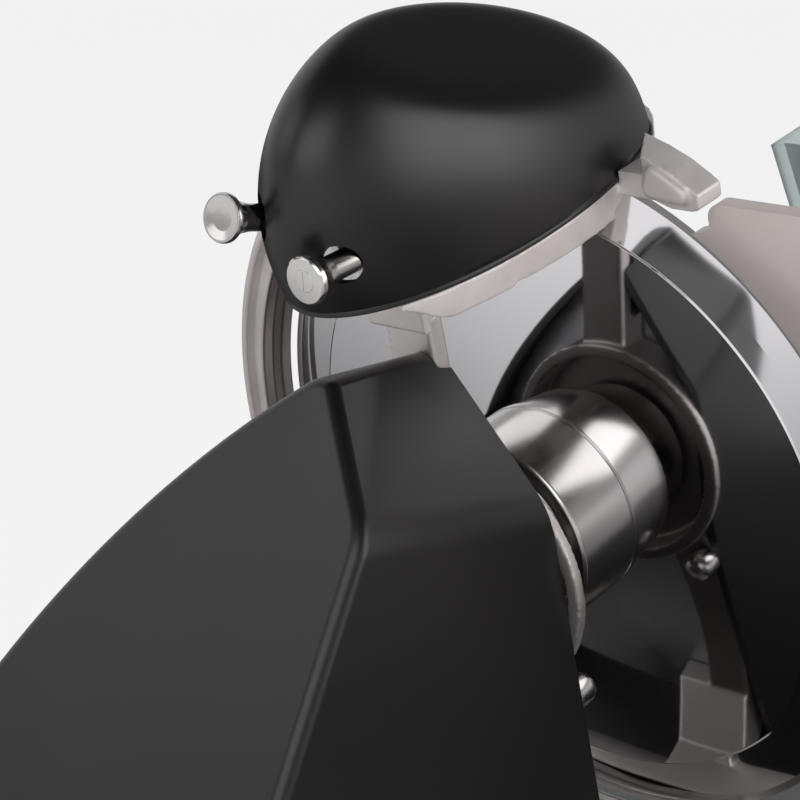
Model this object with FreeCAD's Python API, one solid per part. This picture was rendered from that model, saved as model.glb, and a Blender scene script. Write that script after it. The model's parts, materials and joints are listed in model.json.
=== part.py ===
import FreeCAD, Part
import math
import os

# Gravity-feed food slicer with a 250 mm blade, top-mounted sharpener and belt drive.
# Millimetres, +Z up. The origin is on the table, at the middle of the whole outline.
# +X is the product side, -Y is the side where the operator stands.
#
# Most of the machine leans with the blade. Those pieces are drawn upright in the
# "head" frame: x along the blade's axis towards the product, z up in the blade's
# plane, origin at the middle of the hub's seat. head() then leans and places them.

V = FreeCAD.Vector
os.makedirs("parts", exist_ok=True)

# Placing of the head
BLADE_TILT = 15.0
AXIS_X = 3.0
AXIS_Y = 25.0
AXIS_Z = 208.0

# Clearances
RUN_GAP = 0.4        # between pieces that move past each other
FIT_GAP = 0.05       # radial, for shafts and pins in their bores
SEAT_GAP = 0.3       # between a seated piece and its seat

# Base
BASE_X0 = -227.0
BASE_X1 = 153.0
BASE_Y = 195.0       # half of the depth
BASE_BOTTOM = 12.0
BASE_TOP = 66.0
BASE_WALL = 5.0
BASE_CORNER = 38.0
BASE_EDGE = 7.0
PLATE_SHEET = 1.5
FOOT_RADIUS = 18.0
FOOT_INSET_X = 24.0
FOOT_INSET_Y = 29.0
FOOT_SCREW_R = 3.0

# Motor housing, given from the blade's axis
HOUSE_FRONT = -41.0
HOUSE_REAR = 96.0
HOUSE_TOP = 65.0
HOUSE_LEFT_TOP = -117.5
HOUSE_LEAN = 26.2
HOUSE_FACE = -45.0   # open face towards the blade, along the axis
HOUSE_WALL = 3.0
HOUSE_EDGE = 5.0
CREASE_EDGE = 22.0
CREASE_RIGHT = 17.0  # height of the crease on the front, at the blade's end
CREASE_LEFT = 27.0   # and at the outer end
CREASE_SPAN = 81.0
RIDGE_BACK = 25.0
RIDGE_RISE = 32.0
REAR_START = -3.0    # where the rear slope leaves the top
REAR_MID_Y = 50.0
REAR_MID_Z = 19.5
REAR_END_Z = -44.0
TOP_EDGE = 11.0

# Blade
BLADE_R = 125.0
BLADE_EDGE_X = 10.6
BEVEL_IN = 122.4
BAND_R = 113.5
DISH_R = 105.2
DISH_DEPTH = 6.65
DISH_START = 36.0
BLADE_SKIN = 2.4
BLADE_BORE = 12.0
BLADE_SCREW_R = 23.0
BLADE_SCREWS = 4
COVER_DISC_R = 95.0
COVER_SHEET = 1.8

# Hub, shaft and bearings
HUB_R = 35.2
HUB_LENGTH = 26.7
NECK_R = 29.0
NECK_END = -50.0
SHAFT_R = 8.5
SHAFT_END = -103.0
BOSS_R = 46.5
BOSS_BORE = 41.5
BOSS_FACE = -41.0
BOSS_FLOOR = -53.0
WEB_BACK = -58.0
BEARING_R = 20.0
BEARING_WIDTH = 12.0
TUBE_R = 26.0
TUBE_END = -85.0

# Drive
BELT_X = -94.0       # middle of the belt, along the axis
BELT_WIDTH = 10.0
BELT_SKIN = 2.4
BLADE_PULLEY_R = 30.0
MOTOR_PULLEY_R = 12.0
MOTOR_Y = 38.0
MOTOR_Z = -45.0
MOTOR_R = 36.0
MOTOR_FRONT = -106.0
MOTOR_LENGTH = 70.0
MOTOR_SHAFT_R = 6.0

# Frame casting
ARM_FRONT = -9.5
ARM_REAR = 9.5
ARM_FACE = -43.5
ARM_BACK = -50.5
ARM_TOP = 93.0
RIB_FACE = -46.5
LEG_WIDTH = 17.0

# Blade guard ring
RING_R = 144.0
RING_BORE = 125.9
RING_FACE = 9.4
RING_START = 10.0    # degrees from the top towards the rear
RING_SWEEP = 195.0

# Sharpener, turned a little forward about the blade's axis
SHARP_TURN = 5.0
DOME_X = -29.0
DOME_Y = -8.5
DOME_LIP = 126.0
DOME_A = 77.0
DOME_B = 33.5
DOME_H = 70.5
DOME_LEAN = -41.0
DOME_SHIFT = -1.0
DOME_LIP_RISE = 3.9  # of the lip, over half the length
DOME_WALL = 2.5
LIP_HEIGHT = 1.8
LIP_PROUD = 0.5
DECK_BOTTOM = 116.0
DECK_START = -66.0
DECK_WALL = 3.0
SLOT_R = 127.6       # room for the blade's edge
SLOT_X0 = -3.0
SLOT_X1 = 14.5
BUTTON_HEAD_R = 7.2
SPINDLE_R = 4.0
BUTTON_TRAVEL = 7.0
STONE_THICK = 6.0
GRIND_STONE_R = 19.5
HONE_STONE_R = 11.0
GUIDE_R = 7.0
COLLAR_R = 6.4

# Gauge plate
GAUGE_BACK = 6.0
GAUGE_THICK = 6.0
GAUGE_REAR = -78.0
GAUGE_FRONT = -222.0
GAUGE_TOP = 117.0
GAUGE_BOTTOM = -82.0
GAUGE_CUT_R = 127.4
GAUGE_TRAVEL = 14.0
GAUGE_ROD_R = 6.0
GAUGE_ROD_Y = -145.0
GAUGE_ROD_Z = -174.0
GAUGE_HUB_R = 12.0
GAUGE_ARM_WIDTH = 30.0
GAUGE_PIN_X = 5.0
PIN_R = 2.5
CAM_TURN = 300.0
CAM_OUTER = 18.0
CAM_EDGE = 1.2
CAM_THICK = 6.0
CAM_DEPTH = 4.0
CAM_FRONT = -179.0
DIAL_R = 22.0
DIAL_SHAFT_R = 6.0

# Controls on the base
SWITCH_X = -135.0
SWITCH_STEP = 32.0
SWITCH_Z = 40.0
SWITCH_R = 9.0
SWITCH_TRAVEL = 3.0
LAMP_X = -71.0
LAMP_R = 5.0
GLAND_X = -137.0
GLAND_R = 8.0

# Carriage
CARRIAGE_TRAVEL = 230.0
ROD_X = 98.0
ROD_Z = 36.0
ROD_R = 9.0
ROD_REACH = BASE_Y - BASE_WALL - 3.0
BUSH_WALL = 2.5
SLIDER_Y = -100.0
SLIDER_LENGTH = 90.0
SLIDER_WIDTH = 40.0
SLIDER_LOW = 20.0
SLIDER_HIGH = 52.0
RAIL_X0 = 49.0
RAIL_X1 = 67.0
RAIL_TOP = 22.0
GLIDE_SHIFT = 27.0   # of the glide behind the slider's middle
STEM_X = 157.0
STEM_THICK = 16.0
STEM_WIDTH = 50.0
STEM_ARM = 10.0      # half height of the arm through the base's wall
TABLE_X0 = 17.0
TABLE_X1 = 205.0
TABLE_FRONT = -235.0
TABLE_REAR = -15.0
TABLE_Z = -85.0
TABLE_THICK = 5.0
TABLE_RIM = 22.0

# Food pusher
PUSHER_X = 98.0
PUSHER_THICK = 5.0
PUSHER_FRONT = -215.0
PUSHER_REAR = -24.0
PUSHER_TOP = 20.0
PUSHER_BOTTOM = -82.0
PUSHER_ROD_Y = -2.0
PUSHER_ROD_Z = -52.0
PUSHER_ROD_R = 8.0
HUB_OUTER = 14.0
HUB_REACH = 44.0
TOOTH_R = 2.6
TOOTH_LENGTH = 6.0
TOOTH_STEP = 24.0
GUARD_X = 84.0
GUARD_THICK = 3.0
GUARD_TOP = 101.0
GUARD_REAR = -46.0
GUARD_FRONT = -200.0
GUARD_REACH = 66.0

BASE_DROP = BASE_TOP - AXIS_Z   # height of the base's top, seen from the blade's axis
BIG = 600.0


def box(x0, x1, y0, y1, z0, z1):
    return Part.makeBox(x1 - x0, y1 - y0, z1 - z0, V(x0, y0, z0))


def rod(radius, start, end):
    along = V(*end) - V(*start)
    return Part.makeCylinder(radius, along.Length, V(*start), along)


def bar_x(radius, x0, x1, y=0.0, z=0.0):
    return rod(radius, (x0, y, z), (x1, y, z))


def bar_y(radius, y0, y1, x, z):
    return rod(radius, (x, y0, z), (x, y1, z))


def tube_x(outer, inner, x0, x1, y=0.0, z=0.0):
    return bar_x(outer, x0, x1, y, z).cut(bar_x(inner, x0 - 1, x1 + 1, y, z))


def tube_y(outer, inner, y0, y1, x, z):
    return bar_y(outer, y0, y1, x, z).cut(bar_y(inner, y0 - 1, y1 + 1, x, z))


def turned(points, angle=360.0):
    """Solid turned about the X axis from (x, radius) points."""
    ring = [V(x, 0, r) for x, r in points]
    face = Part.Face(Part.makePolygon(ring + ring[:1]))
    return face.revolve(V(0, 0, 0), V(-1, 0, 0), angle)


def plate_x(points, x0, x1):
    """Prism along X of a (y, z) outline."""
    ring = [V(x0, y, z) for y, z in points]
    return Part.Face(Part.makePolygon(ring + ring[:1])).extrude(V(x1 - x0, 0, 0))


def plate_y(points, y0, y1):
    """Prism along Y of an (x, z) outline."""
    ring = [V(x, y0, z) for x, z in points]
    return Part.Face(Part.makePolygon(ring + ring[:1])).extrude(V(0, y1 - y0, 0))


def rounded(x0, x1, y0, y1, z0, z1, radius, axis="z"):
    """Block with the four edges along one axis rounded."""
    block = box(x0, x1, y0, y1, z0, z1)
    along = {"x": V(1, 0, 0), "y": V(0, 1, 0), "z": V(0, 0, 1)}[axis]
    edges = [e for e in block.Edges if abs(e.tangentAt(e.FirstParameter).dot(along)) > 0.99]
    return block.makeFillet(radius, edges)


def below(shape, point, normal):
    """Keeps what lies behind a plane, seen along its normal."""
    normal = V(*normal)
    normal.normalize()
    block = Part.makeBox(3 * BIG, 3 * BIG, 3 * BIG, V(-1.5 * BIG, -1.5 * BIG, 0))
    block.Placement = FreeCAD.Placement(V(*point), FreeCAD.Rotation(V(0, 0, 1), normal))
    return shape.cut(block)


def edges_where(shape, test):
    return [e for e in shape.Edges if test(e.CenterOfMass, e)]


def turned_about_x(shape, degrees):
    moved = shape.copy()
    moved.rotate(V(0, 0, 0), V(1, 0, 0), degrees)
    return moved


def aim(shape, point, direction):
    """Turns a piece drawn along +X to a direction and moves its origin to a point."""
    moved = shape.copy()
    turn = FreeCAD.Placement(V(*point), FreeCAD.Rotation(V(1, 0, 0), V(*direction)))
    moved.Placement = turn.multiply(moved.Placement)
    return moved


def head(shape):
    """Leans a piece with the blade and puts it at the blade's axis."""
    moved = shape.copy()
    moved.rotate(V(0, 0, 0), V(0, 1, 0), -BLADE_TILT)
    moved.translate(V(AXIS_X, AXIS_Y, AXIS_Z))
    return moved


def from_axis(shape):
    """Puts a piece that is drawn upright from the blade's axis."""
    moved = shape.copy()
    moved.translate(V(AXIS_X, AXIS_Y, AXIS_Z))
    return moved


def sharpener(shape):
    return head(turned_about_x(shape, SHARP_TURN))


def save(name, shape):
    if hasattr(shape, "removeSplitter"):
        shape = shape.removeSplitter()
    shape.exportStep("parts/" + name + ".step")


def fused(pieces):
    return pieces[0].multiFuse(pieces[1:]) if len(pieces) > 1 else pieces[0]


def group(pieces):
    return Part.makeCompound(pieces)


def world_xz(distance, height):
    """World X and Z of a point of the head frame's middle plane."""
    a = math.radians(BLADE_TILT)
    x = AXIS_X + distance * math.cos(a) - height * math.sin(a)
    z = AXIS_Z + distance * math.sin(a) + height * math.cos(a)
    return x, z


def above_base(shape):
    """Ends a piece on the base's top."""
    return shape.cut(box(-BIG, BIG, -BIG, BIG, -BIG, BASE_TOP))


def around(count, radius, offset=0.0):
    for step in range(count):
        a = math.radians(offset + 360.0 * step / count)
        yield radius * math.cos(a), radius * math.sin(a)


# Base and what stands on the table

CAM_X = GAUGE_PIN_X - CAM_OUTER
DIAL_X, DIAL_Z = world_xz(CAM_X, GAUGE_ROD_Z)
SWITCHES = {"start": SWITCH_X, "stop": SWITCH_X + SWITCH_STEP}


def base_outline(inset, z0, z1):
    radius = BASE_CORNER - inset
    return rounded(BASE_X0 + inset, BASE_X1 - inset, -BASE_Y + inset, BASE_Y - inset, z0, z1, radius)


def foot_places():
    for x in (BASE_X0 + FOOT_INSET_X, BASE_X1 - FOOT_INSET_X):
        for y in (-BASE_Y + FOOT_INSET_Y, BASE_Y - FOOT_INSET_Y):
            yield x, y


def build_base():
    outer = base_outline(0.0, BASE_BOTTOM, BASE_TOP)
    rim = edges_where(outer, lambda c, e: abs(c.z - BASE_TOP) < 0.01)
    outer = outer.makeFillet(BASE_EDGE, rim)
    body = outer.cut(base_outline(BASE_WALL, BASE_BOTTOM - 1, BASE_TOP - BASE_WALL))
    posts = [Part.makeCylinder(7, BASE_TOP - BASE_BOTTOM - PLATE_SHEET - 2, V(x, y, BASE_BOTTOM + PLATE_SHEET))
             for x, y in foot_places()]
    body = fused([body] + posts)
    for x, y in foot_places():
        body = body.cut(Part.makeCylinder(FOOT_SCREW_R + FIT_GAP, 20, V(x, y, BASE_BOTTOM)))
    slot_y = GAUGE_ARM_WIDTH / 2 + 2
    gauge_slot = box(-9.0 - GAUGE_TRAVEL, GAUGE_BACK + 3, GAUGE_ROD_Y - slot_y, GAUGE_ROD_Y + slot_y,
                     GAUGE_ROD_Z + 20, GAUGE_BOTTOM - 20)
    body = body.cut(head(gauge_slot))
    y0 = SLIDER_Y - STEM_WIDTH / 2 - 8
    y1 = SLIDER_Y + STEM_WIDTH / 2 + CARRIAGE_TRAVEL + 8
    arm_room = STEM_ARM + 3
    body = body.cut(box(BASE_X1 - BASE_WALL - 1, BASE_X1 + 1, y0, y1, ROD_Z - arm_room, ROD_Z + arm_room))
    front_holes = [(x, SWITCH_Z, SWITCH_R + 1.5) for x in SWITCHES.values()]
    front_holes += [(DIAL_X, DIAL_Z, DIAL_SHAFT_R + 2.5), (LAMP_X, SWITCH_Z, LAMP_R)]
    for x, z, radius in front_holes:
        body = body.cut(bar_y(radius + FIT_GAP, -BASE_Y - 1, -BASE_Y + BASE_WALL + 1, x, z))
    body = body.cut(bar_y(GLAND_R + FIT_GAP, BASE_Y - BASE_WALL - 1, BASE_Y + 1, GLAND_X, SWITCH_Z))
    save("base_body", body)
    plate = base_outline(BASE_WALL + SEAT_GAP, BASE_BOTTOM, BASE_BOTTOM + PLATE_SHEET)
    for x, y in foot_places():
        plate = plate.cut(Part.makeCylinder(FOOT_SCREW_R + SEAT_GAP, BASE_BOTTOM, V(x, y, BASE_BOTTOM - 1)))
    save("bottom_plate", plate)


def build_feet():
    feet = []
    screws = []
    for x, y in foot_places():
        foot = Part.makeCone(FOOT_RADIUS - 3, FOOT_RADIUS, BASE_BOTTOM, V(x, y, 0))
        foot = foot.cut(Part.makeCylinder(7, 5, V(x, y, -1)))
        feet.append(foot.cut(Part.makeCylinder(FOOT_SCREW_R + FIT_GAP, BASE_BOTTOM + 1, V(x, y, 0))))
        screw = Part.makeCylinder(5.5, 2.5, V(x, y, 1.5)).fuse(Part.makeCylinder(FOOT_SCREW_R, 26, V(x, y, 1.5)))
        screws.append(screw.cut(box(x - 6, x + 6, y - 0.6, y + 0.6, 1, 2.6)))
    save("rubber_feet", group(feet))
    save("foot_screws", group(screws))


def build_controls():
    bezels = []
    front = -BASE_Y
    for name, x in SWITCHES.items():
        inner = SWITCH_R + RUN_GAP
        flange = turned([(0, inner), (0, SWITCH_R + 5), (2.2, SWITCH_R + 4), (3.2, inner + 1.2), (3.2, inner)])
        barrel = tube_x(SWITCH_R + 1.5, inner, -12, 0.5)
        bezels.append(aim(flange.fuse(barrel), (x, front, SWITCH_Z), (0, -1, 0)))
        proud = 4.6 if name == "start" else 7.0
        crown = 0.6 if name == "start" else 2.4
        button = turned([(-9, 0), (-9, SWITCH_R), (proud - crown, SWITCH_R), (proud, SWITCH_R - crown), (proud, 0)])
        save(name + "_button", aim(button, (x, front, SWITCH_Z), (0, -1, 0)))
    save("switch_bezels", group(bezels))
    lamp = turned([(-11, 0), (-11, LAMP_R), (0, LAMP_R), (0, LAMP_R + 2), (1.6, LAMP_R + 2), (2.2, LAMP_R + 1),
                   (3.6, LAMP_R - 2), (4.2, 0)])
    save("pilot_lamp", aim(lamp, (LAMP_X, front, SWITCH_Z), (0, -1, 0)))
    nut = plate_x([(y, z) for y, z in around(6, GLAND_R + 4)], 0, 5)
    gland = turned([(-10, 0), (-10, GLAND_R), (8, GLAND_R), (11, 9.5), (19, 9.5), (26, 6.5), (26, 0)])
    gland = gland.fuse(nut).cut(bar_x(4.0, 4, 27))
    save("power_gland", aim(gland, (GLAND_X, BASE_Y, SWITCH_Z), (0, 1, 0)))
    board_x0 = SWITCH_X - 18
    board_x1 = LAMP_X + 12
    board = box(board_x0, board_x1, front + 20, front + 21.6, 20, 58)
    relays = [box(x, x + 15, front + 21.5, front + 36, 24, 44) for x in (board_x0 + 12, board_x0 + 40)]
    contacts = [box(x - 6, x + 6, front + 13, front + 20.1, SWITCH_Z - 6, SWITCH_Z + 6) for x in SWITCHES.values()]
    stays = [box(x, x + 4, front + 20.1, front + 30, 50, BASE_TOP - BASE_WALL) for x in (board_x0 + 2, board_x1 - 6)]
    save("control_board", fused([board] + relays + contacts + stays))


# Motor housing: a clipped block, narrow at the top and wide at the base

def house_solid(inset):
    """Housing block inside the wall by the given inset, from the blade's axis."""
    left = HOUSE_LEFT_TOP + inset / math.cos(math.radians(HOUSE_LEAN))
    front = HOUSE_FRONT + inset
    rear = HOUSE_REAR - inset
    top = HOUSE_TOP - inset
    arc_mid = V(-BIG, REAR_MID_Y - 0.7 * inset, REAR_MID_Z - 0.7 * inset)
    start = V(-BIG, REAR_START, top)
    end = V(-BIG, rear, REAR_END_Z)
    low = BASE_DROP - (1.0 if inset else 0.0)
    corners = [end, V(-BIG, rear, low), V(-BIG, front, low), V(-BIG, front, top), start]
    edges = [Part.Arc(start, arc_mid, end).toShape()]
    edges += [Part.makeLine(a, b) for a, b in zip(corners, corners[1:])]
    block = Part.Face(Part.Wire(edges)).extrude(V(2 * BIG, 0, 0))
    lean = math.radians(HOUSE_LEAN)
    block = below(block, (left, 0, HOUSE_TOP), (-math.cos(lean), 0, math.sin(lean)))
    tilt = math.radians(BLADE_TILT)
    reach = HOUSE_FACE + (1.0 if inset else 0.0)
    block = below(block, (reach * math.cos(tilt), 0, reach * math.sin(tilt)),
                  (math.cos(tilt), 0, math.sin(tilt)))
    right = V(-54.0, HOUSE_FRONT, CREASE_RIGHT)
    outer = V(-54.0 - CREASE_SPAN, HOUSE_FRONT, CREASE_LEFT)
    back = V(-122.0, HOUSE_FRONT + RIDGE_BACK, CREASE_LEFT + RIDGE_RISE)
    normal = (outer - right).cross(back - right)
    normal.normalize()
    if normal.z < 0:
        normal = normal * -1
    point = right - normal * inset
    return below(block, (point.x, point.y, point.z), (normal.x, normal.y, normal.z))


def build_housing():
    outer = house_solid(0.0)

    def shown(c, e):
        tilt = math.radians(BLADE_TILT)
        on_face = abs(c.x * math.cos(tilt) + c.z * math.sin(tilt) - HOUSE_FACE) < 0.5
        return not on_face and c.z > BASE_DROP + 1

    crease = edges_where(outer, lambda c, e: abs(c.y - HOUSE_FRONT) < 0.5 and 0 < c.z < HOUSE_TOP - 10
                         and e.tangentAt(e.FirstParameter).z < 0.5 and abs(e.tangentAt(e.FirstParameter).x) > 0.9)
    outer = outer.makeFillet(CREASE_EDGE, crease)
    top = edges_where(outer, lambda c, e: abs(c.z - HOUSE_TOP) < 0.5 and abs(c.y - REAR_START) < 0.5
                      and abs(e.tangentAt(e.FirstParameter).x) > 0.9)
    outer = outer.makeFillet(TOP_EDGE, top)
    outer = outer.makeFillet(HOUSE_EDGE, edges_where(outer, shown))
    shell = from_axis(outer.cut(house_solid(HOUSE_WALL)))
    notch = box(ARM_BACK - 0.7, ARM_FACE, ARM_FRONT - 0.7, ARM_REAR + 0.7, 50, 90)
    save("housing_cover", shell.cut(head(notch)))


# Frame casting: foot, leg, bearing boss and arm

def arc_band(start, middle, end, width, x0, x1):
    """Rib of even width along an arc in the (y, z) plane."""
    arc = Part.Arc(V(x0, *start), V(x0, *middle), V(x0, *end)).toShape()
    circle = arc.Curve
    centre = circle.Center
    radius = circle.Radius
    ring = Part.makeCylinder(radius + width / 2, x1 - x0, V(x0, centre.y, centre.z), V(1, 0, 0))
    ring = ring.cut(Part.makeCylinder(radius - width / 2, x1 - x0, V(x0, centre.y, centre.z), V(1, 0, 0)))
    wedge = [centre]
    for point in (start, middle, end):
        ray = V(x0, *point) - centre
        wedge.append(centre + ray * 3)
    face = Part.Face(Part.makePolygon(wedge + wedge[:1]))
    return ring.common(face.extrude(V(x1 - x0, 0, 0)))


LEG_START = (-27.0, -30.0)
LEG_MID = (-31.0, -70.0)
LEG_END = (-14.0, -142.0)
STUD_Y = -35.0
STUD_Z = -42.0
STUD_R = 5.5
STUD_NECK = 2.4
STUD_FACE = -35.0
SHELF_Y = 62.0       # half of the shelf's length under the blade
SHELF_TOP = -130.5


def build_frame():
    boss = tube_x(BOSS_R, BOSS_BORE, BOSS_FLOOR - 1, BOSS_FACE)
    web = tube_x(BOSS_R, BEARING_R, WEB_BACK, BOSS_FLOOR)
    bearing_tube = tube_x(TUBE_R, BEARING_R, TUBE_END, WEB_BACK + 1)
    arm = box(ARM_BACK, ARM_FACE, ARM_FRONT, ARM_REAR, BOSS_R - 4, ARM_TOP)
    arm_mid = 0.5 * (BOSS_R - 4 + ARM_TOP)
    corner = edges_where(arm, lambda c, e: abs(c.y - ARM_FRONT) < 0.01 and abs(c.z - arm_mid) < 1)
    arm = arm.makeFillet(2.0, corner)
    arm_root = box(WEB_BACK, RIB_FACE, ARM_FRONT, ARM_REAR, BOSS_R - 4, 56)
    leg = arc_band(LEG_START, LEG_MID, LEG_END, LEG_WIDTH, WEB_BACK, RIB_FACE)
    leg = leg.cut(bar_x(BOSS_BORE + 1, WEB_BACK - 1, BOSS_FACE + 1))
    low = SHELF_TOP - 40
    start = V(-26, 0, SHELF_TOP - 10.5)
    end = V(-SEAT_GAP, 0, SHELF_TOP)
    curve = Part.Arc(start, V(-16, 0, SHELF_TOP - 3), end).toShape()
    ends = [end, V(end.x, 0, low), V(start.x, 0, low), start]
    sides = [Part.makeLine(a, b) for a, b in zip(ends, ends[1:])]
    shelf = Part.Face(Part.Wire([curve] + sides)).extrude(V(0, 2 * SHELF_Y, 0))
    shelf.translate(V(0, -SHELF_Y, 0))
    toe = plate_y([(WEB_BACK, -112), (RIB_FACE, -112), (-30, SHELF_TOP - 2), (-18, SHELF_TOP - 3), (-18, low),
                   (WEB_BACK, low)], -33, -2)
    body = fused([boss, web, bearing_tube, arm, arm_root, leg, shelf, toe])
    free = box(HOUSE_FACE + SEAT_GAP, BIG, -BIG, BIG, -BIG, BIG)
    over = box(-BIG, BIG, -BIG, BIG, 50, BIG).common(arm)
    inside = house_solid(HOUSE_WALL + SEAT_GAP)
    inside.rotate(V(0, 0, 0), V(0, 1, 0), BLADE_TILT)
    body = body.common(fused([free, inside, over]))
    body = body.cut(bar_x(BOSS_BORE, BOSS_FLOOR, 0))
    body = body.cut(bar_x(STUD_NECK + FIT_GAP, RIB_FACE - 8, RIB_FACE + 1, STUD_Y, STUD_Z))
    save("frame_casting", above_base(head(body)))
    seat = HOUSE_FACE + SEAT_GAP
    stud = turned([(RIB_FACE - 7, 0), (RIB_FACE - 7, STUD_NECK), (seat, STUD_NECK), (seat, STUD_R),
                   (STUD_FACE - 3, STUD_R), (STUD_FACE - 1, STUD_R - 1), (STUD_FACE, STUD_R - 3), (STUD_FACE, 0)])
    stud.translate(V(0, STUD_Y, STUD_Z))
    save("frame_stud", head(stud))


def build_back_plate():
    """Sheet that closes the housing behind the ribs."""
    inset = house_solid(HOUSE_WALL + SEAT_GAP)
    sheet = box(WEB_BACK - 2.0, WEB_BACK - 0.2, -BIG / 3, BIG / 3, -BIG / 3, BIG / 3)
    sheet = sheet.cut(bar_x(TUBE_R + SEAT_GAP, WEB_BACK - 3, WEB_BACK + 1))
    save("housing_back_plate", above_base(head(sheet).common(from_axis(inset))))


def build_ring():
    steps = [(8.0, 0.0), (7.0, 0.03), (5.0, 0.09), (3.6, 0.25), (0.6, 0.33), (0.2, 0.37), (0.6, 0.41), (3.2, 0.46),
             (3.2, 0.74), (0.4, 0.79), (0.0, 0.86), (0.4, 0.93), (1.6, 1.0), (7.4, 1.0), (RING_FACE, 0.89),
             (RING_FACE, 0.06)]
    profile = [(x, RING_BORE + share * (RING_R - RING_BORE)) for x, share in steps]
    ring = turned(profile, RING_SWEEP)
    ring = turned_about_x(ring, -RING_START)
    foot = box(0.0, RING_FACE, -SHELF_Y, SHELF_Y, -175, -100)
    foot = foot.cut(bar_x(RING_R - 3.0, -1, RING_FACE + 1))
    body = above_base(head(ring.fuse(foot)))
    hole = head(bar_x(3.4, -1, RING_FACE + 1, TIE_Y, TIE_Z))
    save("guard_ring", body.cut(hole))


# Blade, hub and shaft

TIE_ANGLE = 100.0
TIE_R = 137.0
TIE_Y = TIE_R * math.sin(math.radians(TIE_ANGLE))
TIE_Z = TIE_R * math.cos(math.radians(TIE_ANGLE))


def build_blade():
    blade = turned([
        (0, BLADE_BORE + FIT_GAP), (0, DISH_START), (DISH_DEPTH, DISH_R), (DISH_DEPTH + 0.55, DISH_R + 0.7),
        (8.2, BAND_R), (9.75, BEVEL_IN), (BLADE_EDGE_X, BLADE_R), (BLADE_EDGE_X + 0.08, BLADE_R),
        (10.3, 112.0), (DISH_DEPTH + BLADE_SKIN, DISH_R - 1.5), (BLADE_SKIN, DISH_START + 1.5),
        (BLADE_SKIN, BLADE_BORE + FIT_GAP)])
    hub = turned([
        (0, SHAFT_R + FIT_GAP), (0, HUB_R - 0.4), (-0.4, HUB_R), (-HUB_LENGTH + 0.8, HUB_R),
        (-HUB_LENGTH, HUB_R - 0.8), (-HUB_LENGTH, NECK_R), (NECK_END, NECK_R), (NECK_END, SHAFT_R + FIT_GAP)])
    hub = hub.fuse(tube_x(BLADE_BORE, SHAFT_R + FIT_GAP, -1, BLADE_SKIN - 0.4))
    screws = []
    for y, z in around(BLADE_SCREWS, BLADE_SCREW_R, 45):
        blade = blade.cut(bar_x(3.1, -1, 9, y, z))
        blade = blade.cut(Part.makeCone(3.1, 6.1, 2.6, V(0.2, y, z), V(1, 0, 0)))
        hub = hub.cut(bar_x(3.0 + FIT_GAP, -14, 1, y, z))
        screw = bar_x(3.0, -12, 0.3, y, z).fuse(Part.makeCone(3.0, 5.2, 2.0, V(0.2, y, z), V(1, 0, 0)))
        slot = box(1.4, 3, y - 5.5, y + 5.5, z - 0.6, z + 0.6)
        screws.append(screw.cut(slot))
    shaft = turned([(-0.3, 0), (-0.3, SHAFT_R), (SHAFT_END, SHAFT_R), (SHAFT_END - 1, SHAFT_R - 1),
                    (SHAFT_END - 1, 0)])
    save("blade", head(blade))
    save("blade_hub", head(hub))
    save("blade_screws", head(group(screws)))
    save("blade_shaft", head(shaft))
    bearings = []
    for x in (BOSS_FLOOR - 5.0, TUBE_END + BEARING_WIDTH):
        outer = tube_x(BEARING_R - FIT_GAP, BEARING_R - 3.5, x - BEARING_WIDTH, x)
        inner = tube_x(SHAFT_R + 3.5, SHAFT_R + FIT_GAP, x - BEARING_WIDTH, x)
        shields = tube_x(BEARING_R - 3.4, SHAFT_R + 3.4, x - BEARING_WIDTH + 1, x - 1)
        bearings.append(fused([outer, inner, shields]))
    save("shaft_bearings", head(group(bearings)))


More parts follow.
